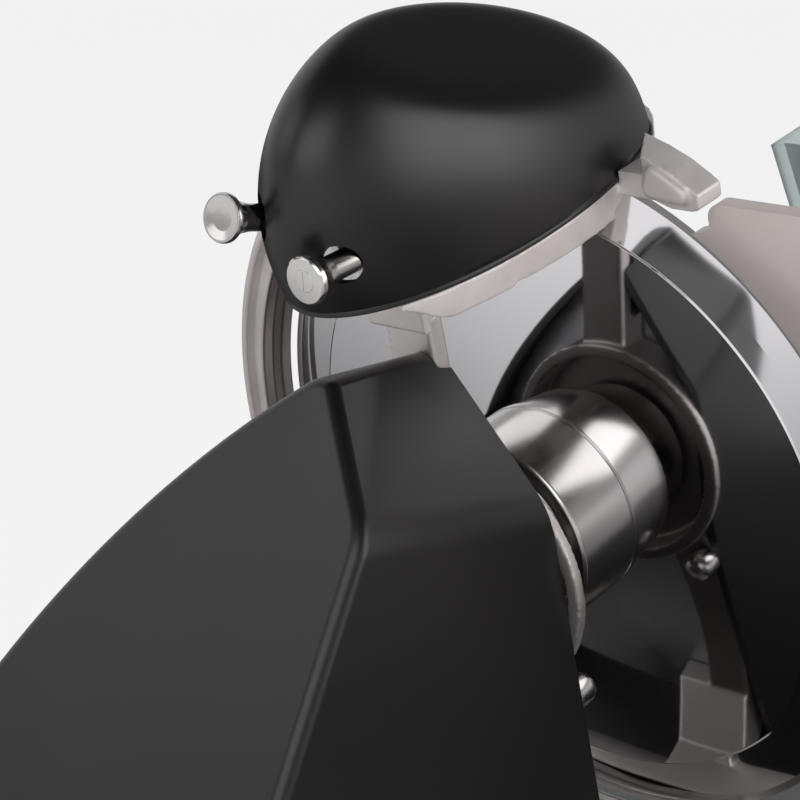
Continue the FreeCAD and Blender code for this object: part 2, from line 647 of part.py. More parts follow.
def build_drive():
    def pulley(radius, bore):
        x0 = BELT_X - BELT_WIDTH / 2 - 1.2
        x1 = BELT_X + BELT_WIDTH / 2 + 1.2
        return turned([(x0, bore), (x0, radius + 2.4), (x0 + 0.9, radius + 2.4), (x0 + 1.1, radius),
                       (x1 - 1.1, radius), (x1 - 0.9, radius + 2.4), (x1, radius + 2.4), (x1, bore)])

    big = pulley(BLADE_PULLEY_R, SHAFT_R + FIT_GAP)
    for y, z in around(6, 19.5):
        big = big.cut(bar_x(5.5, BELT_X - 9, BELT_X + 9, y, z))
    save("driven_pulley", head(big))
    small = pulley(MOTOR_PULLEY_R, MOTOR_SHAFT_R + FIT_GAP)
    small.translate(V(0, MOTOR_Y, MOTOR_Z))
    save("motor_pulley", head(small))
    x0 = BELT_X - BELT_WIDTH / 2
    x1 = BELT_X + BELT_WIDTH / 2

    def loop(extra):
        """Solid inside a belt line that lies off both pulleys by the given height."""
        r1 = BLADE_PULLEY_R + extra
        r2 = MOTOR_PULLEY_R + extra
        span = math.hypot(MOTOR_Y, MOTOR_Z)
        heading = math.atan2(MOTOR_Z, MOTOR_Y)
        lean = math.acos((r1 - r2) / span)
        points = []
        for side in (lean, -lean):
            c = math.cos(heading + side)
            s = math.sin(heading + side)
            points.append(((r1 * c, r1 * s), (MOTOR_Y + r2 * c, MOTOR_Z + r2 * s)))
        quad = [points[0][0], points[0][1], points[1][1], points[1][0]]
        return fused([plate_x(quad, x0, x1), bar_x(r1, x0, x1), bar_x(r2, x0, x1, MOTOR_Y, MOTOR_Z)])

    belt = loop(BELT_SKIN).cut(loop(SEAT_GAP))
    save("drive_belt", head(belt))
    end = MOTOR_FRONT - MOTOR_LENGTH
    can = bar_x(MOTOR_R, end, MOTOR_FRONT, MOTOR_Y, MOTOR_Z)
    rims = edges_where(can, lambda c, e: len(e.Vertexes) == 1)
    can = can.makeFillet(4.0, rims)
    fins = []
    for step in range(9):
        x = end + 12 + step * 5.6
        fins.append(tube_x(MOTOR_R + 1.6, MOTOR_R - 1, x, x + 2.2, MOTOR_Y, MOTOR_Z))
    fan_back = end - 9
    save("motor_shaft", head(bar_x(MOTOR_SHAFT_R, fan_back, BELT_X + 7, MOTOR_Y, MOTOR_Z)))
    fan = tube_x(11, MOTOR_SHAFT_R + FIT_GAP, fan_back, fan_back + 7)
    for step in range(8):
        vane = box(fan_back, fan_back + 6, 10, 27, -1, 1)
        fan = fan.fuse(turned_about_x(vane, step * 45.0))
    fan.translate(V(0, MOTOR_Y, MOTOR_Z))
    save("motor_fan", head(fan))
    flange = rounded(MOTOR_FRONT - 1, MOTOR_FRONT + 4, MOTOR_Y - 30, MOTOR_Y + 34, MOTOR_Z - 30, MOTOR_Z + 26, 8, "x")
    posts = [bar_x(4.0, MOTOR_FRONT + 3, WEB_BACK - 2.2, MOTOR_Y + y, MOTOR_Z + z)
             for y, z in ((26, -22), (26, 18), (-22, -24))]
    body = fused([can, flange] + fins + posts)
    save("motor", head(body.cut(bar_x(MOTOR_SHAFT_R + FIT_GAP, end - 1, BELT_X, MOTOR_Y, MOTOR_Z))))


# Blade cover disc with its tie rod and knob

def build_cover():
    disc = bar_x(COVER_DISC_R, BLADE_EDGE_X - 0.6, BLADE_EDGE_X + 1.2)
    a = math.degrees(math.atan2(TIE_Z, TIE_Y))
    tab = rounded(BLADE_EDGE_X + 0.7, BLADE_EDGE_X + 2.5, COVER_DISC_R - 12, TIE_R + 8, -15, 15, 1.2, "x")
    tab = turned_about_x(tab, a)
    socket = bar_x(7.0, RING_FACE + 0.1, BLADE_EDGE_X + 2.0, TIE_Y, TIE_Z)
    disc = fused([disc, tab, socket])
    disc = disc.cut(bar_x(3.0 + FIT_GAP, RING_FACE - 1, BLADE_EDGE_X + 1.0, TIE_Y, TIE_Z))
    save("blade_cover_disc", head(disc))
    knob = turned([(-4.0, 0), (-4.0, 6), (-5.5, 10.5), (-14, 11), (-17, 9.5), (-18, 6), (-18, 0)])
    for y, z in around(10, 12.2):
        knob = knob.cut(bar_x(2.2, -16, -5, y, z))
    shank = turned([(-5, 0), (-5, 5), (-0.3, 5), (-0.3, 3), (BLADE_EDGE_X + 0.6, 3), (BLADE_EDGE_X + 0.6, 0)])
    knob = knob.fuse(shank)
    knob.translate(V(0, TIE_Y, TIE_Z))
    save("cover_knob", head(knob))


# Sharpener: base casting, domed cover and two spindles with their stones

def dome(grow):
    """Leaning ellipsoid of the cover, grown or shrunk by a wall."""
    a = DOME_A + grow
    b = DOME_B + grow
    h = DOME_H + grow
    shape = FreeCAD.Matrix(a, 0, DOME_LEAN, DOME_X, 0, b, DOME_SHIFT, DOME_Y,
                           DOME_LIP_RISE, 0, h, DOME_LIP, 0, 0, 0, 1)
    return Part.makeSphere(1.0).transformGeometry(shape)


def over_lip(shape, offset):
    """Keeps what lies over the lip's plane, which rises towards the product."""
    rise = math.atan2(DOME_LIP_RISE, DOME_A)
    return below(shape, (DOME_X, 0, DOME_LIP + offset), (math.sin(rise), 0, -math.cos(rise)))


def oval(grow, low, high):
    """Upright oval prism under the dome's lip."""
    shape = FreeCAD.Matrix(DOME_A + grow, 0, 0, DOME_X, 0, DOME_B + grow, 0, DOME_Y, 0, 0, 1, low, 0, 0, 0, 1)
    return Part.makeCylinder(1.0, high - low).transformGeometry(shape)


# Toe of the sharpener's base, which reaches forward round the blade's edge, in (y, z)
TOE = [(-26, 122.9), (-52.2, 122.9), (-52.2, 137), (-55, 136.2), (-64, 133.3), (-72.5, 129.4), (-79, 125.2),
       (-81.7, 123.2), (-81.6, 118.8), (-80.2, 117.6), (-77.5, 117.3), (-70.6, 117.4), (-65, 119.2), (-52, 119.6),
       (-26, 119.6)]
TOE_FACE = -2.0
TOE_BACK = 10.0
TOE_PAD = [(-66.3, 128.0), (-75.3, 122.7), (-65.0, 123.6)]
PAD_ROUND = 3.2      # round the three corners of the pad
PAD_RISE = 2.2

# Each spindle: hole in the cover (x, y, z) and the angle it drops at towards the blade
SPINDLES = {
    "grind": (-110.1, 1.7, 152.9, 22.5),
    "hone": (-103.5, -22.4, 141.5, 5.0),
}
HOLE_ROOM = {"grind": 2.2, "hone": 1.0}   # round each spindle in the cover
HOLE_RISE = 2.0      # by which a hole is taller than wide, each way
GUIDE_START = 42.0   # along a spindle, from the cover's hole
GUIDE_END = 70.0
GRIND_FACE_X = 2.2   # of the grinding stone when it is pressed
HONE_SHIFT = 12.0    # of the honing stone from its spindle


def on_spindle(shape, which):
    """Places a piece drawn along +X from the cover's hole towards the stone."""
    x, y, z, drop = SPINDLES[which]
    moved = shape.copy()
    moved.rotate(V(0, 0, 0), V(0, 1, 0), drop)
    moved.translate(V(x, y, z))
    return sharpener(moved)


def toe_pad():
    """Raised pad with soft edges on the toe of the sharpener's base."""
    top = TOE_FACE - PAD_RISE
    corners = [V(top, y, z) for y, z in TOE_PAD]
    outline = Part.makePolygon(corners + corners[:1]).makeOffset2D(PAD_ROUND)
    pad = Part.Face(outline).extrude(V(PAD_RISE + 0.5, 0, 0))
    rim = edges_where(pad, lambda c, e: c.x < top + 0.01)
    return pad.makeFillet(PAD_RISE - 0.3, rim)


def build_sharpener():
    grown = dome(LIP_PROUD)
    skirt = over_lip(grown, 0.0)
    skirt = skirt.cut(over_lip(grown, LIP_HEIGHT))
    cover = over_lip(dome(0.0), 0.0).fuse(skirt).cut(dome(-DOME_WALL))
    cover = sharpener(cover)
    for which in SPINDLES:
        radius = SPINDLE_R + HOLE_ROOM[which]
        passage = fused([bar_x(radius, -12, 26, 0, z) for z in (-HOLE_RISE, HOLE_RISE)])
        cover = cover.cut(on_spindle(passage, which))
    save("sharpener_cover", cover)

    low = DECK_BOTTOM
    outer = oval(0.2, low, DOME_LIP + 20)
    outer = outer.cut(over_lip(box(-BIG, BIG, -BIG, BIG, 0, BIG), 0.0))
    room = oval(-DECK_WALL, low + 3.0, DOME_LIP + 21)
    window = oval(-DECK_WALL, low - 1.0, low + 4.0).common(box(-36, BIG, -BIG, BIG, 0, BIG))
    deck = outer.cut(room).cut(window).common(box(DECK_START, BIG, -BIG, BIG, 0, BIG))
    guides = []
    for hole_x, y, z, drop in SPINDLES.values():
        a = math.radians(drop)
        for along in (GUIDE_START + 9, GUIDE_END - 5):
            x = hole_x + along * math.cos(a)
            top = z - along * math.sin(a)
            guides.append(box(x - 3, x + 3, y - 4, y + 4, low + 1, top - SPINDLE_R - 1))
    posts = fused(guides).common(oval(-1.0, low, DOME_LIP + 40))
    deck = turned_about_x(fused([deck, posts]), SHARP_TURN)
    foot = plate_x(TOE, TOE_FACE, TOE_BACK)
    foot = foot.cut(turned_about_x(oval(-1.0, 0.5 * DECK_BOTTOM, 2 * DECK_BOTTOM), SHARP_TURN))
    foot = foot.fuse(toe_pad())
    jaw = box(-54.0, -42.0, -11.0, 13.0, ARM_TOP, low + 3)
    lip = box(-54.0, ARM_BACK - SEAT_GAP, -11.0, 13.0, ARM_TOP - 4, ARM_TOP + 1)
    body = fused([deck, foot, jaw, lip]).cut(tube_x(SLOT_R, 0.5 * SLOT_R, SLOT_X0, SLOT_X1))
    body = head(body)
    for which in SPINDLES:
        body = body.cut(on_spindle(bar_x(GUIDE_R, 0, 140), which))
    save("sharpener_base", body)

    sleeves = [on_spindle(tube_x(GUIDE_R - 0.05, SPINDLE_R + FIT_GAP, GUIDE_START, GUIDE_END), which)
               for which in SPINDLES]
    save("spindle_guides", group(sleeves))
    build_spindles()


def build_spindles():
    trumpet = [(-17.0, 0), (-17.0, BUTTON_HEAD_R - 0.6), (-16.4, BUTTON_HEAD_R), (-15.0, BUTTON_HEAD_R),
               (-13.2, 6.0), (-10.5, 4.7), (-7.0, SPINDLE_R)]

    def collar_at(x):
        return [(x, SPINDLE_R), (x, COLLAR_R), (x + 2.2, COLLAR_R), (x + 2.2, SPINDLE_R)]

    def coil(start, end):
        return tube_x(GUIDE_R - 1.2, SPINDLE_R + SEAT_GAP, start, end)

    # The grinding stone is pushed against the bevel from the slice side
    hole_x, drop = SPINDLES["grind"][0], SPINDLES["grind"][3]
    face = (GRIND_FACE_X - hole_x) / math.cos(math.radians(drop)) - BUTTON_TRAVEL
    collar = GUIDE_START - 16
    body = turned(trumpet + collar_at(collar) + [(face - 1.5, SPINDLE_R), (face - 1.5, 0)])
    stone = tube_x(GRIND_STONE_R, SPINDLE_R + FIT_GAP, face - STONE_THICK, face)
    save("grind_button", on_spindle(body, "grind"))
    save("grind_stone", on_spindle(stone, "grind"))
    save("grind_spring", on_spindle(coil(collar + 2.5, GUIDE_START - SEAT_GAP), "grind"))

    # The honing stone hangs behind the blade's edge and is pulled against its product side
    hole_x, drop = SPINDLES["hone"][0], SPINDLES["hone"][3]
    lean = math.radians(drop)
    face = (BLADE_EDGE_X + SEAT_GAP + BUTTON_TRAVEL - hole_x) / math.cos(lean) + HONE_STONE_R * math.sin(lean)
    back = face + STONE_THICK
    collar = GUIDE_END + 13
    body = turned(trumpet + collar_at(collar) + [(back + 2.5, SPINDLE_R), (back + 2.5, 0)])
    carrier = rounded(back, back + 2.5, -3.5, HONE_SHIFT + 4, -5, 4.5, 3, "x")
    stub = bar_x(SPINDLE_R, face + 1.5, back + 1, HONE_SHIFT)
    body = fused([body, carrier, stub])
    stone = tube_x(HONE_STONE_R, SPINDLE_R + FIT_GAP, face, back, HONE_SHIFT)
    stone = stone.cut(bar_x(SPINDLE_R + SEAT_GAP, face - 1, back + 1))
    slotted = turned([(-17.0, 0), (-17.0, 2.9), (-17.6, 2.9), (-18.2, 2.2), (-18.2, 0)])
    slotted = slotted.cut(box(-19, -17.5, -4, 4, -0.5, 0.5))
    save("hone_button", on_spindle(body, "hone"))
    save("hone_stone", on_spindle(stone, "hone"))
    save("hone_screw", on_spindle(slotted, "hone"))
    save("hone_spring", on_spindle(coil(GUIDE_END + SEAT_GAP, collar - SEAT_GAP), "hone"))


# Gauge plate with its scroll cam and dial

def build_gauge():
    outline = [(GAUGE_REAR, GAUGE_TOP), (GAUGE_FRONT, GAUGE_TOP), (GAUGE_FRONT, GAUGE_BOTTOM), (-60, GAUGE_BOTTOM),
               (-60, 105), (-70, 105.4), (GAUGE_REAR, 108)]
    plate = plate_x(outline, GAUGE_BACK, GAUGE_BACK + GAUGE_THICK)
    plate = plate.cut(bar_x(GAUGE_CUT_R, GAUGE_BACK - 1, GAUGE_BACK + GAUGE_THICK + 1))
    corner = edges_where(plate, lambda c, e: abs(c.z - GAUGE_TOP) < 1 and e.Length < GAUGE_THICK + 0.1)
    plate = plate.makeFillet(5.0, corner)
    half = GAUGE_ARM_WIDTH / 2
    arm = box(-6.0, GAUGE_BACK + 0.1, GAUGE_ROD_Y - half, GAUGE_ROD_Y + half, GAUGE_ROD_Z, -30)
    arm = arm.cut(box(-7, -0.5, -BIG, BIG, -82, 0))
    rib = plate_y([(0.0, -30), (GAUGE_BACK + 0.1, 70), (GAUGE_BACK + 0.1, -30)], GAUGE_ROD_Y - 4, GAUGE_ROD_Y + 4)
    hub = bar_x(GAUGE_HUB_R, -10, 10, GAUGE_ROD_Y, GAUGE_ROD_Z)
    block = box(-6, 10, GAUGE_ROD_Y - half, GAUGE_ROD_Y, GAUGE_ROD_Z - 6, GAUGE_ROD_Z + 6)
    body = fused([plate, arm, rib, hub, block])
    body = body.cut(bar_x(GAUGE_ROD_R + FIT_GAP, -11, 11, GAUGE_ROD_Y, GAUGE_ROD_Z))
    pin_start = GAUGE_ROD_Y - GAUGE_ROD_R - 1.5
    pin_end = CAM_FRONT + CAM_THICK - CAM_DEPTH + 0.5
    body = body.fuse(bar_y(PIN_R, pin_end, pin_start, GAUGE_PIN_X, GAUGE_ROD_Z))
    save("gauge_plate", head(body))
    save("gauge_rod", head(bar_x(GAUGE_ROD_R, -41, 20, GAUGE_ROD_Y, GAUGE_ROD_Z)))
    save("rod_brackets", group(gauge_brackets() + carriage_brackets()))


def gauge_brackets():
    brackets = []
    ceiling = box(-BIG, BIG, -BIG, BIG, BASE_TOP - BASE_WALL, BIG)
    for x in (-40.0, 14.0):
        bracket = rounded(x, x + 6, GAUGE_ROD_Y - 11, GAUGE_ROD_Y + 11, GAUGE_ROD_Z - 10, BASE_DROP + 22, 3, "x")
        bracket = bracket.cut(bar_x(GAUGE_ROD_R + FIT_GAP, x - 1, x + 7, GAUGE_ROD_Y, GAUGE_ROD_Z))
        brackets.append(head(bracket).cut(ceiling))
    return brackets


def carriage_brackets():
    ceiling = BASE_TOP - BASE_WALL
    brackets = []
    for y in (-ROD_REACH, ROD_REACH - 10):
        block = rounded(ROD_X - 15, ROD_X + 15, y, y + 10, ROD_Z - 15, ceiling, 4, "y")
        block = block.fuse(box(ROD_X - 15, ROD_X + 15, y, y + 10, ROD_Z, ceiling))
        brackets.append(block.cut(bar_y(ROD_R + FIT_GAP, y - 1, y + 11, ROD_X, ROD_Z)))
    return brackets


def scroll_point(turn, side=0.0):
    """Point of the scroll, or of a line off it by a distance, in the head frame's (x, z)."""
    rate = GAUGE_TRAVEL / math.radians(CAM_TURN)
    a = math.radians(turn)
    radius = CAM_OUTER - rate * a
    x = radius * math.cos(a)
    z = -radius * math.sin(a)
    dx = -rate * math.cos(a) - radius * math.sin(a)
    dz = rate * math.sin(a) - radius * math.cos(a)
    size = math.hypot(dx, dz)
    return CAM_X + x + side * dz / size, GAUGE_ROD_Z + z - side * dx / size


def build_dial():
    half = PIN_R + 0.35
    steps = [CAM_TURN * i / 24.0 for i in range(25)]
    y0 = CAM_FRONT + CAM_THICK - CAM_DEPTH
    rails = []
    for side in (half, -half):
        line = Part.BSplineCurve()
        line.interpolate([V(x, y0, z) for x, z in (scroll_point(t, side) for t in steps)])
        rails.append(line)
    ends = []
    for turn in (steps[0], steps[-1]):
        a = scroll_point(turn, half)
        b = scroll_point(turn, -half)
        ends.append(Part.makeLine(V(a[0], y0, a[1]), V(b[0], y0, b[1])))
    wire = Part.Wire(Part.__sortEdges__([rails[0].toShape(), rails[1].toShape()] + ends))
    groove = Part.Face(wire).extrude(V(0, CAM_DEPTH + 1, 0))
    for turn in (steps[0], steps[-1]):
        x, z = scroll_point(turn)
        groove = groove.fuse(bar_y(half, y0, y0 + CAM_DEPTH + 1, x, z))
    disc = bar_y(CAM_OUTER + half + CAM_EDGE, CAM_FRONT, CAM_FRONT + CAM_THICK, CAM_X, GAUGE_ROD_Z)
    shaft = bar_y(DIAL_SHAFT_R, -BASE_Y - 20 - AXIS_Y, CAM_FRONT + 0.1, CAM_X, GAUGE_ROD_Z)
    save("gauge_cam", head(disc.cut(groove).fuse(shaft)))
    face = -BASE_Y
    knob = turned([(2.0, 0), (2.0, DIAL_R + 2), (4.0, DIAL_R + 3), (6.0, DIAL_R + 3), (7.0, DIAL_R), (22, DIAL_R - 2),
                   (25, DIAL_R - 5), (26, 0)])
    for y, z in around(16, DIAL_R + 1.5):
        knob = knob.cut(bar_x(3.0, 8, 27, y, z))
    knob = knob.cut(tube_x(DIAL_R - 4, 10, 1, 5))
    knob = knob.cut(bar_x(DIAL_SHAFT_R + FIT_GAP, 1, 20.5))
    turn = FreeCAD.Rotation(V(0, 1, 0), -BLADE_TILT)
    knob = aim(knob, (0, 0, 0), (0, -1, 0))
    knob.Placement = FreeCAD.Placement(V(DIAL_X, face, DIAL_Z), turn).multiply(knob.Placement)
    save("dial_knob", knob)
    bush = turned([(-BASE_WALL - 6, DIAL_SHAFT_R + FIT_GAP), (-BASE_WALL - 6, DIAL_SHAFT_R + 2.5),
                   (0, DIAL_SHAFT_R + 2.5), (0, DIAL_SHAFT_R + 4.5), (1.4, DIAL_SHAFT_R + 4.5),
                   (1.4, DIAL_SHAFT_R + FIT_GAP)])
    save("dial_bush", aim(bush, (DIAL_X, face, DIAL_Z), (0, -1, 0)))


# Carriage, food table and pusher

def build_carriage():
    save("carriage_rod", bar_y(ROD_R, -ROD_REACH, ROD_REACH, ROD_X, ROD_Z))
    bush_r = ROD_R + BUSH_WALL
    y0 = SLIDER_Y - SLIDER_LENGTH / 2
    y1 = SLIDER_Y + SLIDER_LENGTH / 2
    half = SLIDER_WIDTH / 2
    slider = rounded(ROD_X - half, ROD_X + half, y0, y1, SLIDER_LOW, SLIDER_HIGH, 5, "y")
    glide_y = SLIDER_Y + GLIDE_SHIFT
    wing = box(RAIL_X0, ROD_X - half + 1, glide_y - 18, glide_y + 18, RAIL_TOP + 8, RAIL_TOP + 16)
    slider = slider.fuse(wing).cut(bar_y(bush_r + FIT_GAP, y0 - 1, y1 + 1, ROD_X, ROD_Z))
    save("slider_block", slider)
    bushes = [tube_y(bush_r, ROD_R + FIT_GAP, y, y + 24, ROD_X, ROD_Z) for y in (y0, y1 - 24)]
    save("slider_bushes", group(bushes))
    rail = box(RAIL_X0, RAIL_X1, glide_y - 30, BASE_Y - 13, BASE_BOTTOM + PLATE_SHEET, RAIL_TOP)
    save("glide_rail", rail)
    pad = box(RAIL_X0 + 3, RAIL_X1 - 3, glide_y - 16, glide_y + 16, RAIL_TOP + RUN_GAP, RAIL_TOP + 8)
    save("glide_pad", pad)

    w = STEM_WIDTH / 2
    stem = rounded(STEM_X, STEM_X + STEM_THICK, SLIDER_Y - w, SLIDER_Y + w, ROD_Z - STEM_ARM, AXIS_Z + 32, 5, "z")
    arm = box(ROD_X + half, STEM_X + 4, SLIDER_Y - w, SLIDER_Y + w, ROD_Z - STEM_ARM, ROD_Z + STEM_ARM)
    under = TABLE_Z - TABLE_THICK
    mid = SLIDER_Y - AXIS_Y
    pad = rounded(108, 178, mid - w - 14, mid + w + 14, under - 8, under, 3, "x")
    pad = pad.fuse(box(108, 178, mid - w - 14, mid + w + 14, under - 4, under))
    gusset = plate_y([(116, under - 7), (172, under - 7), (150, under - 46), (140, under - 46)],
                     mid - 5, mid + 5)
    stem = stem.cut(head(box(-BIG, BIG, -BIG, BIG, under - 1, BIG)))
    stem = fused([stem, arm, head(pad), head(gusset)])
    knob_x = STEM_X + STEM_THICK
    stem = stem.cut(bar_x(5 + FIT_GAP, knob_x - 14, knob_x + 1, SLIDER_Y, ROD_Z))
    save("carriage_stem", stem)
    knob = turned([(0, 0), (0, 8), (3, 8), (4, 15), (16, 16), (20, 14), (22, 9), (22, 0)])
    for y, z in around(8, 18):
        knob = knob.cut(bar_x(4.5, 3, 23, y, z))
    knob = knob.fuse(bar_x(5, -13, 1))
    knob = aim(knob, (knob_x + SEAT_GAP, SLIDER_Y, ROD_Z), (1, 0, 0))
    save("carriage_knob", knob)


def build_table():
    plate = box(TABLE_X0, TABLE_X1, TABLE_FRONT, TABLE_REAR, TABLE_Z - TABLE_THICK, TABLE_Z)
    front = box(TABLE_X0, TABLE_X1, TABLE_FRONT, TABLE_FRONT + 4, TABLE_Z - 1, TABLE_Z + TABLE_RIM)
    outer = box(TABLE_X1 - 4, TABLE_X1, TABLE_FRONT, TABLE_REAR, TABLE_Z - 1, TABLE_Z + TABLE_RIM)
    grooves = [box(TABLE_X0 - 1, TABLE_X1 - 10, y, y + 3, TABLE_Z - 1, TABLE_Z + 1)
               for y in range(int(TABLE_FRONT) + 18, int(TABLE_REAR) - 8, 14)]
    body = fused([plate, front, outer])
    for groove in grooves:
        body = body.cut(groove)
    save("food_table", head(body))
    posts = []
    for x in (TABLE_X0, TABLE_X1 - 9):
        cheek = rounded(x, x + 9, TABLE_REAR, PUSHER_ROD_Y + 13, TABLE_Z - 14, PUSHER_ROD_Z + 13, 6, "x")
        tongue = box(x, x + 9, TABLE_REAR - 24, TABLE_REAR + 7, TABLE_Z - 14, TABLE_Z - TABLE_THICK)
        post = cheek.fuse(tongue)
        posts.append(post.cut(bar_x(PUSHER_ROD_R + FIT_GAP, x - 1, x + 10, PUSHER_ROD_Y, PUSHER_ROD_Z)))
    save("rod_posts", head(group(posts)))
    save("pusher_rod", head(bar_x(PUSHER_ROD_R, TABLE_X0, TABLE_X1, PUSHER_ROD_Y, PUSHER_ROD_Z)))


def build_pusher():
    x0 = PUSHER_X
    x1 = PUSHER_X + PUSHER_THICK
    hub_x0 = x0 - 4
    hub_x1 = hub_x0 + HUB_REACH
    bush_r = PUSHER_ROD_R + BUSH_WALL
    at = (PUSHER_ROD_Y, PUSHER_ROD_Z)
    bush = tube_x(bush_r, PUSHER_ROD_R + FIT_GAP, hub_x0 - 2, hub_x1 + 2, *at)
    lips = [tube_x(HUB_OUTER - 1, PUSHER_ROD_R + FIT_GAP, x, x + 1.6, *at) for x in (hub_x0 - 2.2, hub_x1 + 0.6)]
    save("pusher_bush", head(fused([bush] + lips)))
    hub = bar_x(HUB_OUTER, hub_x0, hub_x1, *at)
    link = box(x0, x0 + 12, PUSHER_REAR - 10, PUSHER_ROD_Y, PUSHER_ROD_Z - 8, PUSHER_ROD_Z + 8)
    link = link.cut(box(x0 - 1, x1 + SEAT_GAP, -BIG, PUSHER_REAR, -BIG, BIG))
    hub = hub.fuse(link).cut(bar_x(bush_r + FIT_GAP, hub_x0 - 1, hub_x1 + 1, *at))
    save("pusher_hub", head(hub))
    plate = rounded(x0, x1, PUSHER_FRONT, PUSHER_REAR, PUSHER_BOTTOM, PUSHER_TOP, 8, "x")
    teeth = []
    columns = int((PUSHER_REAR - PUSHER_FRONT - 30) / TOOTH_STEP) + 1
    rows = int((PUSHER_TOP - PUSHER_BOTTOM - 24) / TOOTH_STEP) + 1
    for i in range(columns):
        for j in range(rows):
            spot = V(x0 + 0.5, PUSHER_FRONT + 15 + i * TOOTH_STEP, PUSHER_BOTTOM + 12 + j * TOOTH_STEP)
            teeth.append(Part.makeCone(TOOTH_R, 0.4, TOOTH_LENGTH + 0.5, spot, V(-1, 0, 0)))
    save("pusher_plate", head(fused([plate] + teeth)))
    stalk = bar_x(6, x1 + SEAT_GAP, x1 + 20, -150, -20).fuse(bar_x(13, x1 + SEAT_GAP, x1 + 5, -150, -20))
    grip = turned([(18, 0), (18, 10), (24, 12), (50, 16), (74, 14), (88, 17), (94, 14), (96, 8), (96, 0)])
    grip = aim(grip, (x1, -150, -20), (1, 0, 0))
    save("pusher_handle", head(stalk.fuse(grip)))
    back = x1 + SEAT_GAP
    fold = PUSHER_TOP + 2
    thick = GUARD_THICK
    wall = plate_y([(back, 2), (back + thick, 2), (back + thick, fold), (GUARD_X + thick, GUARD_TOP),
                    (GUARD_X, GUARD_TOP), (back, fold)], GUARD_FRONT, GUARD_REAR)
    side = plate_y([(back, fold), (back + 52, fold), (back + 52, GUARD_TOP - 16), (back + 40, GUARD_TOP - 2),
                    (back + 30, GUARD_TOP), (GUARD_X, GUARD_TOP)], GUARD_REAR - thick, GUARD_REAR)
    save("hand_guard", head(wall.fuse(side)))
    screws = []
    for y in (-60.0, -120.0, -180.0):
        screws.append(turned([(back + thick + 0.1, 0), (back + thick + 0.1, 4.5), (back + thick + 2, 4),
                              (back + thick + 3, 2.5), (back + thick + 3, 0)]))
        screws[-1].translate(V(0, y, 11))
    save("guard_screws", head(group(screws)))


def main():
    build_base()
    build_feet()
    build_controls()
    build_housing()
    build_frame()
    build_back_plate()
    build_ring()
    build_blade()
    build_drive()
    build_cover()
    build_sharpener()
    build_gauge()
    build_dial()
    build_carriage()
    build_table()
    build_pusher()


main()
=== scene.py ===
"""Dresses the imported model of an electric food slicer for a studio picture.

Lengths inside the shapes are millimetres and angles are degrees. Most pieces are drawn
upright in the head frame, with x along the blade's axis towards the food and z up in the
blade's plane, and are then leaned and placed with the head's matrix.
"""

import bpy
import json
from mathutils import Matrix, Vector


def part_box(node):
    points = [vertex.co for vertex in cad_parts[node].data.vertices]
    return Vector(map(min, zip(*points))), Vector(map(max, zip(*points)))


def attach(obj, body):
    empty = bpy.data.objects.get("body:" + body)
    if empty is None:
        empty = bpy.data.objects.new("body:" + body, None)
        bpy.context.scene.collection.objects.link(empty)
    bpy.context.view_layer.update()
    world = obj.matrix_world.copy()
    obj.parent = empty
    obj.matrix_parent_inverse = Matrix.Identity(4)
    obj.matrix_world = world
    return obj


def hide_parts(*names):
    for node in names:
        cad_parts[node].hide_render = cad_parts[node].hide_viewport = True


bl_info = {
    "name": "Electric food slicer",
    "version": (1, 0, 0),
    "blender": (4, 5, 0),
    "location": "3D View > Sidebar > Slicer",
    "description": "Pieces, finishes and studio of an electric food slicer",
    "category": "Object",
}

import json
import math

import bmesh
import bpy
from mathutils import Matrix, Vector

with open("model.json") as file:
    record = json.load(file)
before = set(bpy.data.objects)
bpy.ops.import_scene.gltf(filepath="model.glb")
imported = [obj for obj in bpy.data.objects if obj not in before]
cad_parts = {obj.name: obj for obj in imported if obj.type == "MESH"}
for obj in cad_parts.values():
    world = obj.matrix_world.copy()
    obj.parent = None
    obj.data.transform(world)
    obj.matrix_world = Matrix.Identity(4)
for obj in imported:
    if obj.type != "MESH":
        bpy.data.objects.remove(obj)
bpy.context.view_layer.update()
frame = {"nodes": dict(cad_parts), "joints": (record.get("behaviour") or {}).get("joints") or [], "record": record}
NODES = frame["nodes"]
JOINTS = {joint["name"]: joint for joint in frame["joints"]}
BODY_OF = {node: body for body, nodes in frame["record"]["behaviour"]["bodies"].items() for node in nodes}

MM = 0.001
AXIS = Vector(JOINTS["blade_spin"]["pos_m"])
ALONG = Vector(JOINTS["blade_spin"]["axis"])
LEAN = math.atan2(ALONG.z, ALONG.x)
HEAD = Matrix.Translation(AXIS) @ Matrix.Rotation(-LEAN, 4, "Y")
SHARPENER_TILT = Matrix.Rotation(math.radians(5.0), 4, "X")
SHARPENER = HEAD @ SHARPENER_TILT


def linear(code):
    """Linear colour of an sRGB hex code."""
    parts = [int(code[i:i + 2], 16) / 255 for i in (1, 3, 5)]
    return tuple(c / 12.92 if c <= 0.04045 else ((c + 0.055) / 1.055) ** 2.4 for c in parts)


def radius_of(node):
    """Half of a node's depth, which is the radius of a piece that is turned about the blade's axis."""
    low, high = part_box(node)
    return 0.5 * (high.y - low.y)


# Sizes and colours that a user would change


class SlicerSizes(bpy.types.PropertyGroup):
    """Sizes of the slicer's shown pieces."""

    blade_radius: bpy.props.FloatProperty(
        name="Blade radius", description="From the axis to the cutting edge", unit="LENGTH",
        default=radius_of("blade"))
    hub_radius: bpy.props.FloatProperty(
        name="Hub radius", description="Of the turned hub behind the blade", unit="LENGTH",
        default=radius_of("blade_hub"))
    cover_sheet: bpy.props.FloatProperty(
        name="Cover wall", description="Wall of the sharpener cover", unit="LENGTH", default=0.0025)
    camera_distance: bpy.props.FloatProperty(
        name="Camera distance", description="From the camera to the blade's middle", unit="LENGTH",
        default=0.9091)


